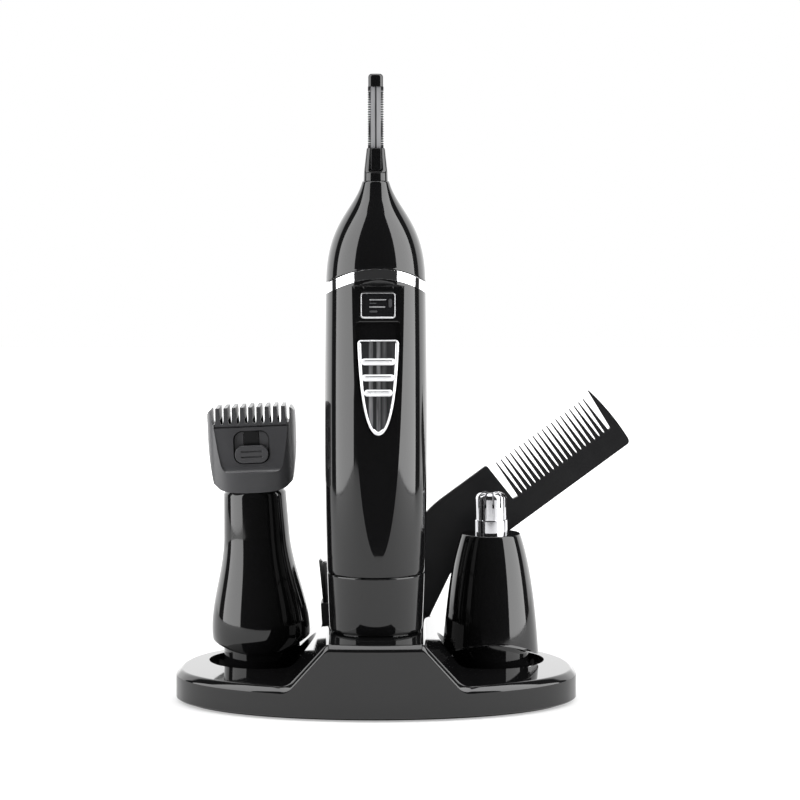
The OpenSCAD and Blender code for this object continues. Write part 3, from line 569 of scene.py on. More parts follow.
COMB_LO, COMB_HI = box("hair_comb")
COMB_Y = (COMB_LO.y + COMB_HI.y) / 2
COMB_RISE = math.radians(36.4)
STEM_RISE = math.radians(64.3)
COMB_X = 20.1
COMB_Z = DECK_H + 9.8
AT_COMB = Matrix.Translation((COMB_X, COMB_Y, COMB_Z)) @ Matrix.Rotation(-COMB_RISE, 4, "Y")
AT_COMB_STEM = (Matrix.Translation((COMB_X, COMB_Y, COMB_Z))
                @ Matrix.Rotation(math.pi / 2 - STEM_RISE, 4, "Y"))
AT_BRUSH = (Matrix.Translation((-13.5, 16, DECK_H - 1.2))
            @ Matrix.Rotation(math.radians(-3.7), 4, "Y"))


# ---- handle
BELLY_Z = SEAM_Z + 35


def body_rad(z):
    return BODY_R - (0.0005 if z < BELLY_Z else 0.00019) * (z - BELLY_Z) ** 2


FACET_Z0 = SEAM_Z + 4.8
FACET_Z1 = RING_TOP - RING_H - 2
FACET_Y0 = body_rad(FACET_Z0)
FACET_Y1 = body_rad(FACET_Z1) - 1.85
FACET_TILT = math.atan2(FACET_Y0 - FACET_Y1, FACET_Z1 - FACET_Z0)


def facet_y(z):
    return FACET_Y0 + (FACET_Y1 - FACET_Y0) * (z - FACET_Z0) / (FACET_Z1 - FACET_Z0)


def saddle_z(top, x):
    """Height of the curved joint line over a place across the handle."""
    return top - SADDLE_R + math.sqrt(max(SADDLE_R**2 - x * x, 0))


def on_facet(z):
    return AT_HANDLE @ Matrix.Translation((0, -facet_y(z), z)) @ Matrix.Rotation(-FACET_TILT, 4, "X")


def shield(w, l, r, n=22):
    """Front view of the switch button: its top edge at height 0."""
    h = w / 2
    right = bezier((h, -r), (h * 0.92, -l * 0.5), (h * 0.68, -l), (0, -l), n)
    left = [(-x, z) for x, z in right[-2::-1]]
    return right + left + arc(-h + r, -r, r, 165, 90, 6) + arc(h - r, -r, r, 90, 15, 6)


BUTTON_TOP = SEAM_Z + 61.5
BUTTON_L = 24.5
BUTTON_W = 10.6
TRAVEL = 4.2
TRACK_D = 0.9


def build_cap():
    z0, seam = CAP_LO.z, SEAM_Z
    skirt = DECK_H + 0.3
    wide = body_rad(skirt)
    foot, top = skirt + 0.8, seam - 0.4
    prof = [(0, z0), (9.9, z0), (10.5, z0 + 0.15), (10.85, z0 + 0.6), (10.9, z0 + 1), (10.9, skirt),
            (wide - 0.45, skirt), (wide - 0.12, skirt + 0.1), (wide, skirt + 0.4)]
    heights = [foot + (top - foot) * k / 12 for k in range(13)]
    prof += [(body_rad(z), z) for z in heights]
    wide = body_rad(seam)
    prof += [(wide - 0.02, seam - 0.18), (wide - 0.12, seam - 0.05), (wide - 0.3, seam),
             (11.25, seam), (11.25, seam - 2), (0, seam - 2)]
    obj = piece("cap_shell", lathe(prof, 256), GLOSS, "battery_cap", AT_HANDLE,
                ("battery_cap",))
    soften(obj, 0.03, 50, 1)


def facet_columns(z):
    """Where the flat inlay zone starts on the round body: its half angle at a height."""
    r, c = body_rad(z), facet_y(z)
    return math.acos(c / r) if c < r else 0.0


ARC_N, FLAT_N = 220, 20


def barrel_ring(z, half, radius=None, flat=True):
    """One ring of the barrel. Its columns follow the edges of the flat zone."""
    r = radius or body_rad(z)
    front = -math.pi / 2
    turns = [front + half + (2 * math.pi - 2 * half) * i / ARC_N for i in range(ARC_N + 1)]
    out = [(r * math.cos(a), r * math.sin(a), z) for a in turns]
    for i in range(1, FLAT_N):
        t = i / FLAT_N
        if flat and half > 0:
            x = r * math.sin(half) * (2 * t - 1)
            out.append((x, -r * math.cos(half), z))
        else:
            a = front - half + 2 * half * t
            out.append((r * math.cos(a), r * math.sin(a), z))
    return out


def slope_ring(t, top):
    """A ring on the short slope from the flat zone's upper end (t = 0) out to the chrome ring (t = 1)."""
    out = []
    for x, y, z in barrel_ring(FACET_Z1, facet_columns(FACET_Z1)):
        up = FACET_Z1 + (saddle_z(top, x) - FACET_Z1) * t
        if abs(math.hypot(x, y) - body_rad(FACET_Z1)) < 1e-6:
            s = body_rad(up) / math.hypot(x, y)
            out.append((x * s, y * s, up))
        else:
            depth = FACET_Y1 + 1.9 * math.sin(math.pi / 2 * t) ** 1.2
            out.append((x, -min(depth, math.sqrt(body_rad(up) ** 2 - x * x)), up))
    return out


def drawn_in(points, r, high=None):
    """The same ring at another radius, on the curved joint line if a height is given."""
    out = []
    for x, y, z in points:
        s = r / math.hypot(x, y)
        out.append((x * s, y * s, saddle_z(high, x * s) if high else z))
    return out


def crease_flat_zone(bm):
    """Marks the edges round the flat zone, and every steep one, as sharp."""
    for e in bm.edges:
        if len(e.link_faces) != 2 or min(f.calc_area() for f in e.link_faces) < 1e-9:
            continue
        mid = (e.verts[0].co + e.verts[1].co) / 2
        upright = abs(e.verts[0].co.z - e.verts[1].co.z) > 0.1
        if upright and FACET_Z0 - 4 < mid.z < FACET_Z1 + 0.01 and mid.y < 0:
            half = facet_columns(mid.z)
            if half > 0 and abs(abs(mid.x) - body_rad(mid.z) * math.sin(half)) < 0.05:
                e.smooth = False
        if e.calc_face_angle(0) > math.radians(30):
            e.smooth = False


def track_outline():
    """The switch's track, seen from the front: the button's outline, carried up by its travel."""
    view = [(x, z + 0.2) for x, z in shield(BUTTON_W + 1.1, BUTTON_L + 0.6, 0.8)]
    low = [p for p in view if p[1] < -4]
    h, high = BUTTON_W / 2 + 0.55, TRAVEL + 0.4
    track = ([p for p in low if p[0] >= 0] + [p for p in low if p[0] < 0]
             + arc(-h + 1, high - 1, 1, 180, 90, 6) + arc(h - 1, high - 1, 1, 90, 0, 6))
    return [(x, z / math.cos(FACET_TILT)) for x, z in track]


def build_barrel():
    top = RING_TOP - RING_H
    seam = SEAM_Z + 0.1
    first = seam + 0.25
    # neck inside the cap, then the seam's rounded edge
    foot = ((9.6, SEAM_Z - 1.5), (11.15, SEAM_Z - 1.5), (11.15, seam), (body_rad(seam) - 0.3, seam),
            (body_rad(seam) - 0.1, seam + 0.06))
    rings = [barrel_ring(z, 0.0, r, False) for r, z in foot]
    for k in range(91):
        z = first + (FACET_Z1 - first) * k / 90
        rings.append(barrel_ring(z, facet_columns(z)))
    rings += [slope_ring(k / 8, top) for k in range(1, 9)]
    # neck inside the head's joint, its bore and the floor of the bore
    last = rings[-1]
    rings += [drawn_in(last, BODY_R - 1, top), drawn_in(last, BODY_R - 1, RING_TOP)]
    bore = drawn_in(last, COLLAR_R + 0.08, RING_TOP)
    floor_z = BROW_LO.z - 0.05
    hub = drawn_in(bore, 6)
    rings += [bore, [(x, y, floor_z) for x, y, z in bore]]
    rings += [[(x, y, floor_z) for x, y, z in hub], [(x, y, floor_z - 1.4) for x, y, z in hub]]
    bm = stack(rings)
    bmesh.ops.remove_doubles(bm, verts=bm.verts, dist=1e-4)
    crease_flat_zone(bm)
    obj = piece("barrel_shell", bm, GLOSS, "handle", AT_HANDLE, ("handle_barrel",))
    cuts = [cutter(prism(track_outline(), -4, TRACK_D), on_facet(BUTTON_TOP)),
            cutter(prism(round_box(9, 6.7, 0.9), -4, 0.7), on_facet(LAMP_Z))]
    carve(obj, cuts)
    soften(obj, 0.1, 55, 2)


LAMP_Z = FACET_Z1 - 4.8


def build_ring():
    low = RING_TOP - RING_H + 0.05

    def edge(r, up):
        return ring(r, lambda a: saddle_z(low, r * math.cos(a)) + up * (RING_H - 0.1), 256)

    corners = ((BODY_R - 1, 0.0), (13.2, 0.0), (13.2, 1.0), (BODY_R - 1, 1.0), (BODY_R - 1, 0.0))
    bm = stack([edge(r, up) for r, up in corners], False, False)
    obj = piece("joint_ring", bm, CHROME, "handle", AT_HANDLE, ("trim_ring",))
    soften(obj, 0.012, 40, 1, True)


def frame_width(z):
    """Width of the button's frame: slim along the top, full at the shoulders, slimmer down the sides."""
    if z > -0.3:
        return 0.35
    if z < -BUTTON_L + 1.2:
        return 0.95
    return 0.92 + 0.32 * max(z, -16.0) / 16.0


def bar_row(x, half, bar_r):
    """One row across a switch bar: a half round with a fine line in its upper third."""
    end = min(half - abs(x), bar_r)
    r = math.sqrt(max(bar_r**2 - (bar_r - end) ** 2, 0.0004))
    row = []
    for q in range(19):
        a = math.pi * q / 18
        depth = 0.8 if q == 7 else 1.0
        row.append((x, -0.25 - 0.75 * depth * r * math.sin(a), r * math.cos(a)))
    return row


def button_frame():
    """Bright frame: a rounded bead that follows the button's outline."""
    outer = shield(BUTTON_W, BUTTON_L, 0.9, 40)
    loops = []
    for i, (x, z) in enumerate(outer):
        x0, z0 = outer[i - 1]
        x1, z1 = outer[(i + 1) % len(outer)]
        d = Vector((x1 - x0, z1 - z0)).normalized()
        inward = Vector((d.y, -d.x))
        if inward.dot(Vector((-x, -z - BUTTON_L * 0.4))) < 0:
            inward = -inward
        width = frame_width(z)
        section = [(0.0, TRACK_D - 0.1), (0.0, -0.3)]
        for k in range(1, 8):
            a = math.pi * k / 8
            section.append((width / 2 - width / 2 * math.cos(a), -0.3 - 0.3 * math.sin(a)))
        section += [(width, -0.3), (width, TRACK_D - 0.1)]
        loops.append([(x + inward.x * u, y, (z + inward.y * u) / math.cos(FACET_TILT)) for u, y in section])
    return band(loops)


def bar_mesh(width):
    bar_r, half = 0.9, width / 2
    ends = [bar_r * (1 - math.cos(math.pi / 2 * t / 6)) for t in range(7)]
    bm = bmesh.new()
    rows = []
    for x in [-half + t for t in ends] + [half - t for t in ends[::-1]]:
        rows.append([bm.verts.new(p) for p in bar_row(x, half, bar_r)])
    for a, b in zip(rows, rows[1:]):
        for q in range(18):
            bm.faces.new((a[q], a[q + 1], b[q + 1], b[q]))
        bm.faces.new((a[18], a[0], b[0], b[18]))
    bm.faces.new(rows[0])
    bm.faces.new(rows[-1][::-1])
    return bm


STEM_DROP = 12.5
BARS = ((5.6, 8.9), (9.7, 8.5), (13.6, 7.4))


def build_switch():
    where = on_facet(BUTTON_TOP)
    tilt = math.cos(FACET_TILT)
    inner = [(x, (z - 0.4) / tilt) for x, z in shield(BUTTON_W - 1.5, BUTTON_L - 1.2, 0.5)]
    panel = prism(inner, -0.25, TRACK_D - 0.1)
    soften(piece("button_panel", panel, PANEL, "switch", where), 0.05, 50, 1)
    low = BUTTON_TOP - STEM_DROP
    stem = prism(round_box(3, 6, 1.1), 0.3, facet_y(low) - 9.7)
    at_stem = AT_HANDLE @ Matrix.Translation((0, -facet_y(low), low))
    obj = piece("button_stem", stem, MATTE, "switch", at_stem, ("slide_button",))
    soften(obj, 0.05, 50, 1)
    obj = piece("button_frame", button_frame(), TRIM, "switch", where, ("button_trim",))
    soften(obj, 0.02, 60, 1)
    for n, (drop, width) in enumerate(BARS, 1):
        at_bar = where @ Matrix.Translation((0, 0, -drop / tilt))
        soften(piece(f"button_bar_{n}", bar_mesh(width), TRIM, "switch", at_bar), 0.02, 60, 1)
        line = prism(round_box(width - 1.9, 0.2, 0.09, 4, 0, 0.34), -0.89, -0.6)
        soften(piece(f"button_bar_line_{n}", line, NICKEL, "switch", at_bar), 0.02, 50, 1)


# the window's ribs: width, height, place across and up, material
RIBS = ((4.3, 0.3, -0.1, 1.5, TRIM_DIM), (1.7, 0.26, -1.3, 0.6, SATIN), (4.1, 0.3, -0.2, -0.35, TRIM_DIM),
        (2.0, 0.5, -1.2, -1.5, SATIN), (0.8, 2.2, 3.1, 0.6, SATIN))


def build_lamp():
    where = on_facet(LAMP_Z)
    outer, inner = round_box(8.9, 6.6, 0.7), round_box(8.4, 5.9, 0.5, 6, 0, 0.12)
    loops = []
    for (x, z), (u, v) in zip(outer, inner):
        crest = ((x + u) / 2, -0.24, (z + v) / 2)
        loops.append([(x, 0.6, z), (x, -0.1, z), crest, (u, -0.1, v), (u, 0.6, v)])
    obj = piece("window_frame", band(loops), TRIM_DIM, "handle", where, ("lamp_frame",))
    soften(obj, 0.03, 30, 2)
    lens = prism(round_box(8.35, 5.85, 0.5, 6, 0, 0.12), 0.05, 0.65)
    obj = piece("window_lens", lens, LENS, "handle", where, ("lamp_lens",))
    soften(obj, 0.05, 50, 1)
    foot = prism(round_box(7.7, 0.4, 0.19, 6, 0, -3.06), -0.27, 0.1)
    soften(piece("window_frame_foot", foot, TRIM, "handle", where), 0.08, 40, 2)
    for n, (w, h, x, z, mat) in enumerate(RIBS, 1):
        bm = prism(round_box(w, h, min(w, h) * 0.48), -0.1, 0.08)
        at_rib = where @ Matrix.Translation((x, 0, z))
        soften(piece(f"window_rib_{n}", bm, mat, "handle", at_rib), 0.05, 40, 2)


# ---- heads
def radius_at(profile, z):
    """Radius of a profile at a height."""
    for (r1, z1), (r2, z2) in zip(profile, profile[1:]):
        if z <= z2:
            return r1 + (r2 - r1) * (z - z1) / (z2 - z1) if z2 > z1 else r2
    return profile[-1][0]


def head_skin(profile, turn, top_in, n=224, steps=64):
    """Skin of a head: a turned body that starts on the curved joint line, with its collar inside."""
    # curved line's height at each angle, on the outer radius
    def low(a, r):
        return saddle_z(COLLAR_L + 0.05, r * math.cos(a - turn))

    r0, top = profile[0][0], profile[-1][1]
    rings = [ring(COLLAR_R - 1.2, 0.0, n), ring(COLLAR_R - 0.3, 0.0, n), ring(COLLAR_R, 0.3, n)]
    rings.append(ring(COLLAR_R, lambda a: low(a, COLLAR_R), n))
    rings.append(ring(r0 - 0.3, lambda a: low(a, r0 - 0.3), n))
    rings.append(ring(r0 - 0.08, lambda a: low(a, r0 - 0.1) + 0.06, n))
    for k in range(steps + 1):
        this = []
        for i in range(n):
            a = 2 * math.pi * i / n
            start = low(a, r0) + 0.25
            z = start + (top - start) * k / steps
            r = radius_at(profile, z)
            this.append((r * math.cos(a), r * math.sin(a), z))
        rings.append(this)
    return stack(rings + [ring(r, z, n) for r, z in top_in])


BORE_R = COLLAR_R - 1.3
BROW_TOP, NOSE_TOP, NECK_TOP = 30.3, 36.6, 48.6


def build_brow():
    top = BROW_TOP
    wide = body_rad(RING_TOP) + 0.05
    prof = [(wide, 3.0)] + bezier((wide, 3.4), (13.2, 19.8), (5.5, 22.9), (3.55, top - 0.1), 160)
    bm = head_skin(prof, 0.0, [(3.4, top), (1.7, top), (1.7, top - 2)])
    obj = piece("brow_cone", bm, GLOSS, "brow_head", AT_BROW, ("brow_housing",))
    room = [(0, -1), (BORE_R, -1)]
    room += bezier((BORE_R, COLLAR_L + 1), (11.2, 18.5), (4.2, 20.8), (2.2, top - 3), 24)
    room += [(1.6, top - 3), (1.6, top - 1), (0, top - 1)]
    carve(obj, [cutter(lathe(room), AT_BROW)])
    soften(obj, 0.04, 50, 1)


def build_nose():
    top = NOSE_TOP
    prof = [(13, 3.0)] + bezier((13, 3.4), (12.45, 11.5), (11.4, 26.5), (8.05, top - 0.35), 160)
    bm = head_skin(prof, 0.0, [(7.95, top - 0.12), (7.75, top), (4.5, top), (4.5, top - 2)])
    obj = piece("nose_cone", bm, GLOSS, "nose_head", AT_NOSE, ("nose_housing",))
    room = [(0, -1), (BORE_R, -1), (BORE_R, 8.2), (1.75, 8.2), (1.75, top - 1), (0, top - 1)]
    carve(obj, [cutter(lathe(room), AT_NOSE)])
    soften(obj, 0.04, 50, 1)


def build_nose_tip():
    r, z0 = 4.15, NOSE_TOP
    z1 = z0 + 11
    prof = [(r + 0.3, z0 - 1.6), (r + 0.3, z0 + 3.5), (r + 0.22, z0 + 3.72), (r, z0 + 3.8), (r, z1 - 1.7)]
    for k in range(11):
        a = math.pi / 2 * k / 10
        prof.append((r - 1.6 + 1.6 * math.cos(a), z1 - 1.6 + 1.6 * math.sin(a)))
    prof += [(0.8, z1 + 0.02), (0.0, z1 + 0.02)]
    obj = piece("nose_tip", lathe(prof), NICKEL, "nose_head", AT_NOSE, ("nose_guard",))
    core = [(0, z0 - 3), (r - 0.55, z0 - 3), (r - 0.55, z1 - 2.1), (r - 1.1, z1 - 0.9)]
    cuts = [cutter(lathe(core + [(r - 2, z1 - 0.55), (0, z1 - 0.5)], 96), AT_NOSE)]
    for k in range(12):
        turn = Matrix.Rotation(2 * math.pi * (k + 0.25) / 12, 4, "Z")
        cuts.append(cutter(block(1.3, 6, -0.27, 0.27, z1 - 3.9, z1 + 2), AT_NOSE @ turn))
    carve(obj, cuts)
    soften(obj, 0.04, 45, 2)


def build_beard():
    neck, wide = NECK_TOP, 10.0
    prof = bezier((11.6, 2.9), (12.4, 4.8), (13.1, 7.2), (13.15, wide), 40)
    prof += bezier((13.15, wide), (13.2, 18.5), (9.15, 27), (8.85, 36), 120)[1:]
    prof += [(8.36, neck - 0.9), (8.25, neck - 0.75), (7.7, neck - 0.6), (7.6, neck)]
    bm = head_skin(prof, math.pi / 2, [(6.8, neck), (6.8, neck - 2)])
    obj = piece("beard_body", bm, GLOSS, "beard_head", AT_BEARD, ("beard_housing",))
    room = [(0, -1), (BORE_R, -1), (BORE_R, COLLAR_L + 1)]
    room += bezier((11, 12.5), (11.4, 17.7), (6.1, 34.2), (7, 44), 24)
    room += [(6.5, neck - 2.6), (6.5, neck - 1), (0, neck - 1)]
    carve(obj, [cutter(lathe(room), AT_BEARD)])
    soften(obj, 0.04, 50, 1)


GUIDE_W, GUIDE_D = 23.7, 16.4
GUIDE_Z, GUIDE_TOP = 48.0, 70.6
PLATE_TOP, PLATE_BOT = 65.4, 53.2
GUIDE_FRONT = GUIDE_D / 2 - 2.5
GUIDE_TEETH = 9
RECESS_Z, PAD_Z = PLATE_TOP - 5.4, PLATE_TOP - 7.25


def oval(hx, hy, z, power=1.0, n=64):
    out = []
    for i in range(n):
        a = 2 * math.pi * i / n
        c, q = math.cos(a), math.sin(a)
        out.append((hx * math.copysign(abs(c) ** power, c), hy * math.copysign(abs(q) ** power, q), z))
    return out


def guide_plan(g, n=288):
    return [(x, y) for x, y, _ in oval(GUIDE_W / 2 - g, GUIDE_D / 2 - g, 0, 0.74, n)]


def guide_outline():
    """The guide comb's body seen from the front."""
    w = GUIDE_W / 2
    side = bezier((w - 1.3, GUIDE_Z + 2.6), (w - 0.5, GUIDE_Z + 7), (w, GUIDE_Z + 12), (w, GUIDE_Z + 16), 12)
    foot = bezier((0, GUIDE_Z), (5, GUIDE_Z), (w - 4.4, GUIDE_Z + 0.3), (w - 3, GUIDE_Z + 1.1), 10)
    right = foot[1:] + side + arc(w - 2.6, GUIDE_TOP - 2.6, 2.6, 0, 90, 8)
    return foot[:1] + right + [(-x, z) for x, z in right[::-1]]


def front_wedge(half):
    """What is cut away for the flat front: a wedge carried across, with the two cheeks left standing."""
    front = -GUIDE_FRONT
    toe = bezier((-GUIDE_D / 2 - 0.1, PLATE_BOT), (front - 1.2, PLATE_BOT + 0.2),
                 (front - 0.8, PLATE_BOT + 1.2), (front - 0.7, PLATE_BOT + 3), 8)
    yz = [(-20, PLATE_BOT)] + toe + [(front, PLATE_TOP), (front + 0.6, GUIDE_TOP + 1), (-20, GUIDE_TOP + 1)]
    wedge = stack([[(x, y, z) for y, z in yz] for x in (-half, half)])
    obj = cutter(wedge, AT_BEARD)
    low = PLATE_BOT + 0.1
    view = [(half, GUIDE_TOP + 2), (half, PLATE_TOP), (half - 0.9, low + 5.5)]
    view += bezier((half - 1.35, low + 3.2), (half - 1.7, low + 0.8), (half - 2.6, low),
                   (half - 4.2, low), 10)
    view += [(-x, z) for x, z in view[::-1]]
    carve(obj, [cutter(prism(view, -30, 10), AT_BEARD)], "INTERSECT")
    return obj


def tooth_gaps(half):
    """Gaps between the guide comb's teeth. They reach lower at the back."""
    cuts = []
    for i in range(GUIDE_TEETH + 1):
        x = -half + i * 2 * half / GUIDE_TEETH
        root, shoulder = PLATE_TOP + 0.9, PLATE_TOP + 1.9
        gap = [(x - 0.3, root), (x + 0.3, root), (x + 0.5, shoulder), (x + 0.62, GUIDE_TOP + 1),
               (x - 0.62, GUIDE_TOP + 1), (x - 0.5, shoulder)]
        deep, high = PLATE_TOP - 1.6, PLATE_TOP + 3
        back = [(x - 0.45, deep), (x + 0.45, deep), (x + 0.6, high), (x - 0.6, high)]
        cuts += [cutter(prism(gap, -20, 20), AT_BEARD), cutter(prism(back, 4, 20), AT_BEARD)]
    return cuts


def build_guide():
    obj = piece("guide_body", slab(guide_plan(0), GUIDE_Z - 2, GUIDE_TOP + 3), SATIN, "guide", AT_BEARD,
                ("guide_comb",))
    carve(obj, [cutter(prism(guide_outline(), -20, 20), AT_BEARD)], "INTERSECT")
    neck = lathe([(0, GUIDE_Z - 3), (7.75, GUIDE_Z - 3), (7.75, GUIDE_Z + 3), (0, GUIDE_Z + 3)])
    room = [(max(min(x, 9.1), -9.1), max(y, -GUIDE_FRONT + 1.1)) for x, y in guide_plan(1.2)]
    half = (GUIDE_W - 4) / 2
    # fine line across the front, under the teeth
    line = block(-half, half, -GUIDE_FRONT - 2, -GUIDE_FRONT + 0.7, PLATE_TOP - 0.1, PLATE_TOP + 0.35)
    cuts = [cutter(neck, AT_BEARD), cutter(slab(room, GUIDE_Z - 3, PLATE_TOP + 2), AT_BEARD),
            front_wedge(half),
            cutter(prism(round_box(9.6, 8.8, 2.4, 8, 0, RECESS_Z), -20, -GUIDE_FRONT + 0.75), AT_BEARD),
            cutter(line, AT_BEARD),
            cutter(prism(round_box(4.3, 5.8, 0.3, 4, 0, PLATE_TOP - 4), -20, 0), AT_BEARD)]
    carve(obj, cuts + tooth_gaps(half))
    soften(obj, 0.14, 24, 3, True)


def build_latch():
    front = -GUIDE_FRONT
    pad = prism(round_box(8.9, 4.6, 2.2, 8, 0, PAD_Z), front - 1.1, front + 0.45)
    obj = piece("latch_pad", pad, SATIN, "guide_latch", AT_BEARD, ("guide_latch",))
    grooves = [prism(round_box(5.6, 0.34, 0.15, 4, 0, PAD_Z + up), front - 2, front - 0.7)
               for up in (-0.7, 0.75)]
    carve(obj, [cutter(bm, AT_BEARD) for bm in grooves])
    soften(obj, 0.2, 40, 3)
    # painted shade: a dark ring round the latch's recess, put where shade falls in the gap
    line = prism(round_box(9.56, 8.76, 2.38, 8, 0, RECESS_Z), front + 0.5, front + 0.8)
    obj = piece("guide_recess_painted_shade", line, MATTE, "guide", AT_BEARD)
    carve(obj, [cutter(prism(round_box(8.9, 8.1, 2.1, 8, 0, RECESS_Z), -20, 20), AT_BEARD)])
    tab = prism(round_box(4, 6.2, 0.2, 3, 0, PLATE_TOP - 4.0), front + 0.8, front + 1.05)
    soften(piece("latch_tab", tab, MATTE, "guide_latch", AT_BEARD), 0.08, 40, 2)


# ---- eyebrow blade
CARRIER_Z, BLADE_Z, BLADE_TOP = 30.3, 38.9, 54.6
BLADE_W = 4.0


def panel_view(half, top, centre, low, r):
    """A panel's front view: square at its top, with rounded lower corners."""
    out = [(half, BLADE_Z + top), (-half, BLADE_Z + top)] + arc(-centre, CARRIER_Z + low, r, 180, 270, 6)
    return out + arc(centre, CARRIER_Z + low, r, 270, 360, 6)


def build_carrier():
    """Blade holder: an oval block with a sunk, rounded panel on its front and back."""
    rings = [oval(3.1, 3.1, CARRIER_Z), oval(3.2, 3.2, CARRIER_Z + 0.1), oval(3.12, 3.12, CARRIER_Z + 2.1)]
    rings += [oval(3.1, 2.4, CARRIER_Z + 2.3, 0.85), oval(3.06, 2.15, CARRIER_Z + 2.8, 0.8)]
    rings += [oval(2.42, 2.05, BLADE_Z - 0.25, 0.8), oval(2.3, 1.95, BLADE_Z - 0.05, 0.8)]
    rings.append(oval(2.2, 1.85, BLADE_Z, 0.8))
    obj = piece("blade_holder", stack(rings), GLOSS, "brow_head", AT_BROW, ("brow_carrier",))
    view = panel_view(1.55, 1, 0.85, 3.3, 0.8)
    carve(obj, [cutter(prism(view, -4, -1.55), AT_BROW), cutter(prism(view, 1.55, 4), AT_BROW)])
    soften(obj, 0.1, 40, 2)
    inner = panel_view(1.38, -0.1, 0.72, 3.35, 0.66)
    for side, name in ((-1, "front"), (1, "back")):
        pad = prism(inner, side * 1.95, side * 1.45)
        soften(piece(f"holder_panel_{name}", pad, GLOSS, "brow_head", AT_BROW), 0.22, 40, 3)


def tooth_plate(w, depth, z0, z1, count, block_h):
    """Front view of a blade with teeth down both sides and a plain block at each corner."""
    half, root = w / 2, w / 2 - depth
    pitch = (z1 - z0 - 2 * block_h) / count
    right = [(half, z0), (half, z0 + block_h), (root, z0 + block_h)]
    for i in range(count):
        z = z0 + block_h + i * pitch
        right += [(root, z + 0.07 * pitch), (half - 0.06, z + 0.15 * pitch), (half, z + 0.25 * pitch),
                  (half, z + 0.67 * pitch), (half - 0.06, z + 0.75 * pitch), (root, z + 0.83 * pitch)]
    right += [(root, z1 - block_h), (half, z1 - block_h), (half, z1)]
    return right + [(-x, z) for x, z in right[::-1]]


def build_brow_blades():
    """Two toothed outer plates, each with a pair of flat bright strips along its middle."""
    plate = tooth_plate(BLADE_W, 0.7, BLADE_Z - 0.3, BLADE_TOP + 0.1, 22, 1.1)
    for side, name in ((-1, "front"), (1, "back")):
        y0, y1 = side * 0.46, side * 0.62
        outer = piece(f"tooth_plate_{name}", prism(plate, y0, y1), DARK_STEEL, "brow_head", AT_BROW,
                      ("brow_fixed_blades",) if side < 0 else ())
        soften(outer, 0.02, 40, 1)
        for x0, x1, part in ((-1.32, -0.2, "left"), (0.2, 1.32, "right")):
            bm = block(x0, x1, y1, y1 + side * 0.12, BLADE_Z - 0.4, BLADE_TOP + 0.15)
            piece(f"blade_strip_{name}_{part}", bm, STRIP, "brow_head", AT_BROW,
                  smooth=False)


def build_tip():
    """Rounded tip that holds the blades together."""
    z, top, corner = BLADE_TOP, 58.05, 0.9
    rings = [oval(1.7, 1.1, z, 0.85), oval(1.92, 1.27, z + 0.05, 0.85), oval(1.96, 1.3, z + 0.2, 0.85)]
    for k in range(0, 9):
        a = math.pi / 2 * k / 8
        inset = corner * (1 - math.cos(a))
        rings.append(oval(1.96 - inset, 1.3 - inset * 0.9, top - corner + corner * math.sin(a), 0.85))
    obj = piece("blade_tip", stack(rings), GLOSS, "brow_head", AT_BROW, ("brow_tip_cap",))
    soften(obj, 0.03, 50, 1)


# ---- hair comb
COMB_T = COMB_HI.y - COMB_LO.y
COMB_W, SPINE_H, BLOCK_L = 18.2, 6.1, 25.6
COMB_TEETH, COMB_PITCH = 20, 1.55
TOOTH_ROOT, TOOTH_TIP = 1.36, 0.3
STEM_W = 11.0
STEM_L = (DECK_H + 9.8 - COMB_LO.z) / math.sin(STEM_RISE) - 1.2


def comb_outline():
    """The comb seen from the front: x along its spine, z across it."""
    teeth = []
    for i in range(COMB_TEETH - 1, -1, -1):
        c = BLOCK_L + 1.9 + (i + 0.5) * COMB_PITCH
        teeth += [(c + TOOTH_ROOT / 2, SPINE_H + 0.15), (c + TOOTH_ROOT / 2 - 0.08, SPINE_H + 0.7),
                  (c + TOOTH_TIP / 2, COMB_W - 1.2), (c, COMB_W - 0.9), (c - TOOTH_TIP / 2, COMB_W - 1.2),
                  (c - TOOTH_ROOT / 2 + 0.08, SPINE_H + 0.7), (c - TOOTH_ROOT / 2, SPINE_H + 0.15)]
    end = BLOCK_L + 2.2 + COMB_TEETH * COMB_PITCH
    out = [(0, 0)] + [(end * k / 12, 0) for k in range(1, 13)]
    out += arc(end + 1.4, 1.1, 1.1, 270, 330, 5)
    out += bezier((end + 2.6, 1.2), (end + 2.95, 6), (end + 2.85, 12), (end + 1.6, COMB_W), 12)
    out += [(end + 1.3, COMB_W - 0.1), (end + 0.3, SPINE_H + 0.4)] + teeth
    out += [(BLOCK_L + 0.5, SPINE_H + 0.4), (BLOCK_L + 0.1, COMB_W - 0.5), (BLOCK_L - 0.35, COMB_W)]
    out += bezier((12, COMB_W), (2, COMB_W + 0.2), (-2.2, 15.4), (-4.9, 9.7), 14)
    return out


def build_comb():
    bm = prism(comb_outline(), -COMB_T / 2, COMB_T / 2)
    # teeth and edge grow thinner toward the tips
    for v in bm.verts:
        if v.co.x > BLOCK_L + 1 and v.co.z > SPINE_H + 0.5:
            v.co.y *= 1 - 0.55 * (v.co.z - SPINE_H) / (COMB_W - SPINE_H)
    obj = piece("comb_body", bm, MATTE, "comb", AT_COMB, ("hair_comb",))
    t = COMB_T / 2 - 0.01
    shoulder = -STEM_L + 1.6
    stem = prism([(0, shoulder), (0, 1.0), (-STEM_W, 1.0), (-STEM_W, shoulder), (-STEM_W + 1.6, -STEM_L),
                  (-1.6, -STEM_L)], -t, t)
    carve(obj, [cutter(stem, AT_COMB_STEM)], "UNION")
    soften(obj, 0.22, 30, 2)


# ---- brush tuft
TUFT_ROWS, TUFT_COLS = 5, 26
TUFT_BASE, TUFT_L = 5.2, 11.4
FIBRE_R, FIBRE_TIP_R = 0.11, 0.07
FIBRE_TURNS = (0, 2.1, 4.2)


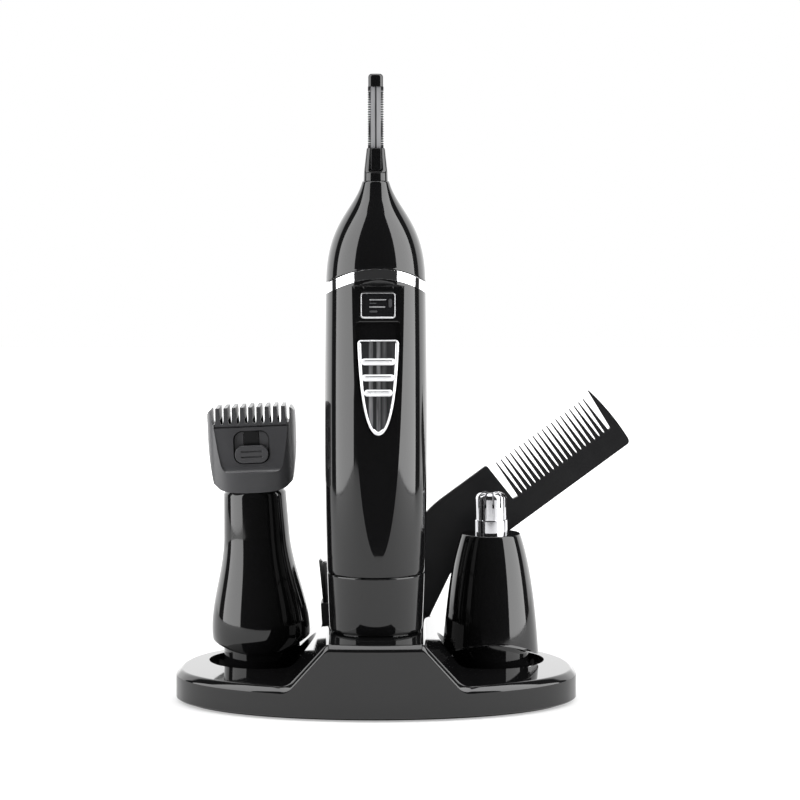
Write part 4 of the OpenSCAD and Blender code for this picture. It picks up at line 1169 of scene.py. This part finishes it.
def build_tuft():
    bm = bmesh.new()

    def section(x, y, z, r):
        return [bm.verts.new((x + r * math.cos(a), y + r * math.sin(a), z)) for a in FIBRE_TURNS]

    for i in range(TUFT_COLS):
        for j in range(TUFT_ROWS):
            y = -3.4 + 6.8 * (i + 0.5) / TUFT_COLS + random.uniform(-0.08, 0.08)
            x = -0.62 + 1.24 * (j + 0.5) / TUFT_ROWS + random.uniform(-0.06, 0.06)
            tip_x = x * 1.75 + random.uniform(-0.1, 0.1)
            tip_y = y * 1.04 + random.uniform(-0.15, 0.15)
            top = TUFT_BASE + TUFT_L - 0.6 - 0.55 * tip_x + random.uniform(-0.5, 0.1)
            low = section(x, y, TUFT_BASE - 0.6, FIBRE_R)
            mid = section((x + tip_x) / 2, (y + tip_y) / 2, (TUFT_BASE + top) / 2, FIBRE_R)
            tip = section(tip_x, tip_y, top, FIBRE_TIP_R)
            for a, b in ((low, mid), (mid, tip)):
                for q in range(3):
                    bm.faces.new((a[q], a[(q + 1) % 3], b[(q + 1) % 3], b[q]))
            bm.faces.new(low[::-1])
            bm.faces.new(tip)
    piece("brush_tuft", bm, FIBRE, "brush", AT_BRUSH, ("brush_bristles",))


# ---- put it together
build_stand()
build_cap()
build_barrel()
build_ring()
build_switch()
build_lamp()
build_brow()
build_nose()
build_nose_tip()
build_beard()
build_guide()
build_latch()
build_carrier()
build_brow_blades()
build_tip()
build_comb()
build_tuft()

KEPT = {
    "stand_bottom_plate": MATTE, "anti_slip_pad": RUBBER, "stand_screws": PLATED, "led": LAMP,
    "seal_ring": RUBBER, "chassis": WHITE, "battery_cell": JACKET, "positive_contact": PLATED,
    "negative_strip": PLATED, "switch_strip": PLATED, "motor_can": PLATED, "motor_shaft": STEEL,
    "drive_coupling": WHITE, "cap_contact": PLATED, "battery_spring": PLATED, "switch_slider": BRASS,
    "brow_moving_blade": DARK_STEEL,
    "brow_drive_rod": WHITE, "nose_rotor": STEEL, "nose_shaft": WHITE, "beard_blade_block": MATTE,
    "beard_fixed_blade": STEEL, "beard_moving_blade": STEEL, "beard_drive_lever": WHITE,
    "brush_handle": MATTE,
}
EDGE = {"brush_handle": 0.3, "brow_moving_blade": 0.0, "battery_spring": 0.0}
for name, mat in KEPT.items():
    keep(name, mat, EDGE.get(name, 0.06))


# ---- room, light, camera
def build_floor():
    """A white sheet under the part, between the two soft boxes."""
    bm = bmesh.new()
    corners = ((-FLOOR_SIDE, -FLOOR_FRONT), (FLOOR_SIDE, -FLOOR_FRONT), (FLOOR_SIDE, FLOOR_BACK),
               (-FLOOR_SIDE, FLOOR_BACK))
    bm.faces.new([bm.verts.new((x, y, 0)) for x, y in corners])
    floor = as_object("floor", bm, Matrix.Scale(1 / MM, 4))
    mat, nodes, links, bsdf = principled("floor_paper")
    grain = noise(nodes, links, 30.0)
    paper = tint(nodes, links, grain, (0.44, 0.44, 0.44), (0.46, 0.46, 0.46))
    links.new(paper, bsdf.inputs["Base Color"])
    put(bsdf, "Roughness", 0.9)
    put(bsdf, "Specular IOR Level", 0.1)
    # painted light: the sheet glows a little at its near end and more toward its far end, standing in for
    # lights behind the set that would burn it out to white
    painted_glow = remap(nodes, links, place(nodes, links, "Y"), (0.03, 0.45), (FLOOR_GLOW, 1.3), True)
    links.new(painted_glow, bsdf.inputs["Emission Strength"])
    put(bsdf, "Emission Color", (1, 1, 1, 1))
    floor.data.materials.append(mat)


def build_world():
    """White behind the part, dark in front of it and overhead. It looks white to the camera all round."""
    world = bpy.data.worlds.new("studio")
    bpy.context.scene.world = world
    world.use_nodes = True
    nodes, links = world.node_tree.nodes, world.node_tree.links
    nodes.clear()
    behind = remap(nodes, links, place(nodes, links, "Y", "Generated"), (0.42, 0.5), (0, 1), True)
    low = remap(nodes, links, place(nodes, links, "Z", "Generated"), (0.6, 0.8), (BACK_GLOW, 0.1), True)
    room = nodes.new("ShaderNodeBackground")
    links.new(product(nodes, links, behind, low, ROOM_GLOW), room.inputs["Strength"])
    paper = nodes.new("ShaderNodeBackground")
    put(paper, "Strength", 1.0)
    for node in (room, paper):
        put(node, "Color", (1, 1, 1, 1))
    path = nodes.new("ShaderNodeLightPath")
    mix = nodes.new("ShaderNodeMixShader")
    links.new(path.outputs["Is Camera Ray"], mix.inputs[0])
    links.new(room.outputs[0], mix.inputs[1])
    links.new(paper.outputs[0], mix.inputs[2])
    out = nodes.new("ShaderNodeOutputWorld")
    links.new(mix.outputs[0], out.inputs["Surface"])


def area_light(name, wide, high, glow, at, turn=(0, 0, 0)):
    """A soft box that lights with one radiance all over."""
    light = bpy.data.lights.new(name, "AREA")
    light.shape = "RECTANGLE"
    light.size, light.size_y = wide, high
    light.energy = glow * math.pi * wide * high
    obj = bpy.data.objects.new(name, light)
    obj.location = at
    obj.rotation_euler = turn
    bpy.context.scene.collection.objects.link(obj)


def soft_box(name, side, glow):
    """A tall soft box beside the part, standing along Y."""
    at = (side * BOX_AWAY, (BOX_BACK - BOX_FRONT) / 2, BOX_HIGH / 2 + 0.001)
    area_light(name, BOX_BACK + BOX_FRONT, BOX_HIGH, glow, at, (math.pi / 2, 0, side * math.pi / 2))


def top_box(glow):
    """A soft box straight overhead."""
    at = (0, (TOP_BACK - TOP_FRONT) / 2, TOP_AWAY)
    area_light("soft_box_top", 2 * TOP_HALF, TOP_FRONT + TOP_BACK, glow, at)


def build_camera():
    cam = bpy.data.cameras.new("camera")
    cam.sensor_width = 36.0
    cam.lens = 114.97
    cam.shift_y = -0.06
    cam.clip_start = 0.05
    obj = bpy.data.objects.new("camera", cam)
    obj.location = (6.3 * MM, -670.3 * MM, 137.8 * MM)
    obj.rotation_euler = (math.radians(90 - 3.89), 0, 0)
    bpy.context.scene.collection.objects.link(obj)
    bpy.context.scene.camera = obj


# the room, in metres, and how brightly each part of it glows
FLOOR_SIDE, FLOOR_FRONT, FLOOR_BACK, FLOOR_GLOW = 0.4, 0.4, 1.4, 0.42
BOX_AWAY, BOX_FRONT, BOX_BACK, BOX_HIGH = 0.40, 0.345, 0.06, 1.0
LEFT_GLOW, RIGHT_GLOW, BACK_GLOW, ROOM_GLOW, TOP_GLOW = 4.6, 5.4, 2.0, 0.035, 4.0
TOP_AWAY, TOP_FRONT, TOP_BACK, TOP_HALF = 0.9, 0.28, 0.4, 0.28

build_floor()
build_world()
soft_box("soft_box_left", -1, LEFT_GLOW)
soft_box("soft_box_right", 1, RIGHT_GLOW)
top_box(TOP_GLOW)
build_camera()
bpy.context.scene.view_settings.view_transform = "Standard"
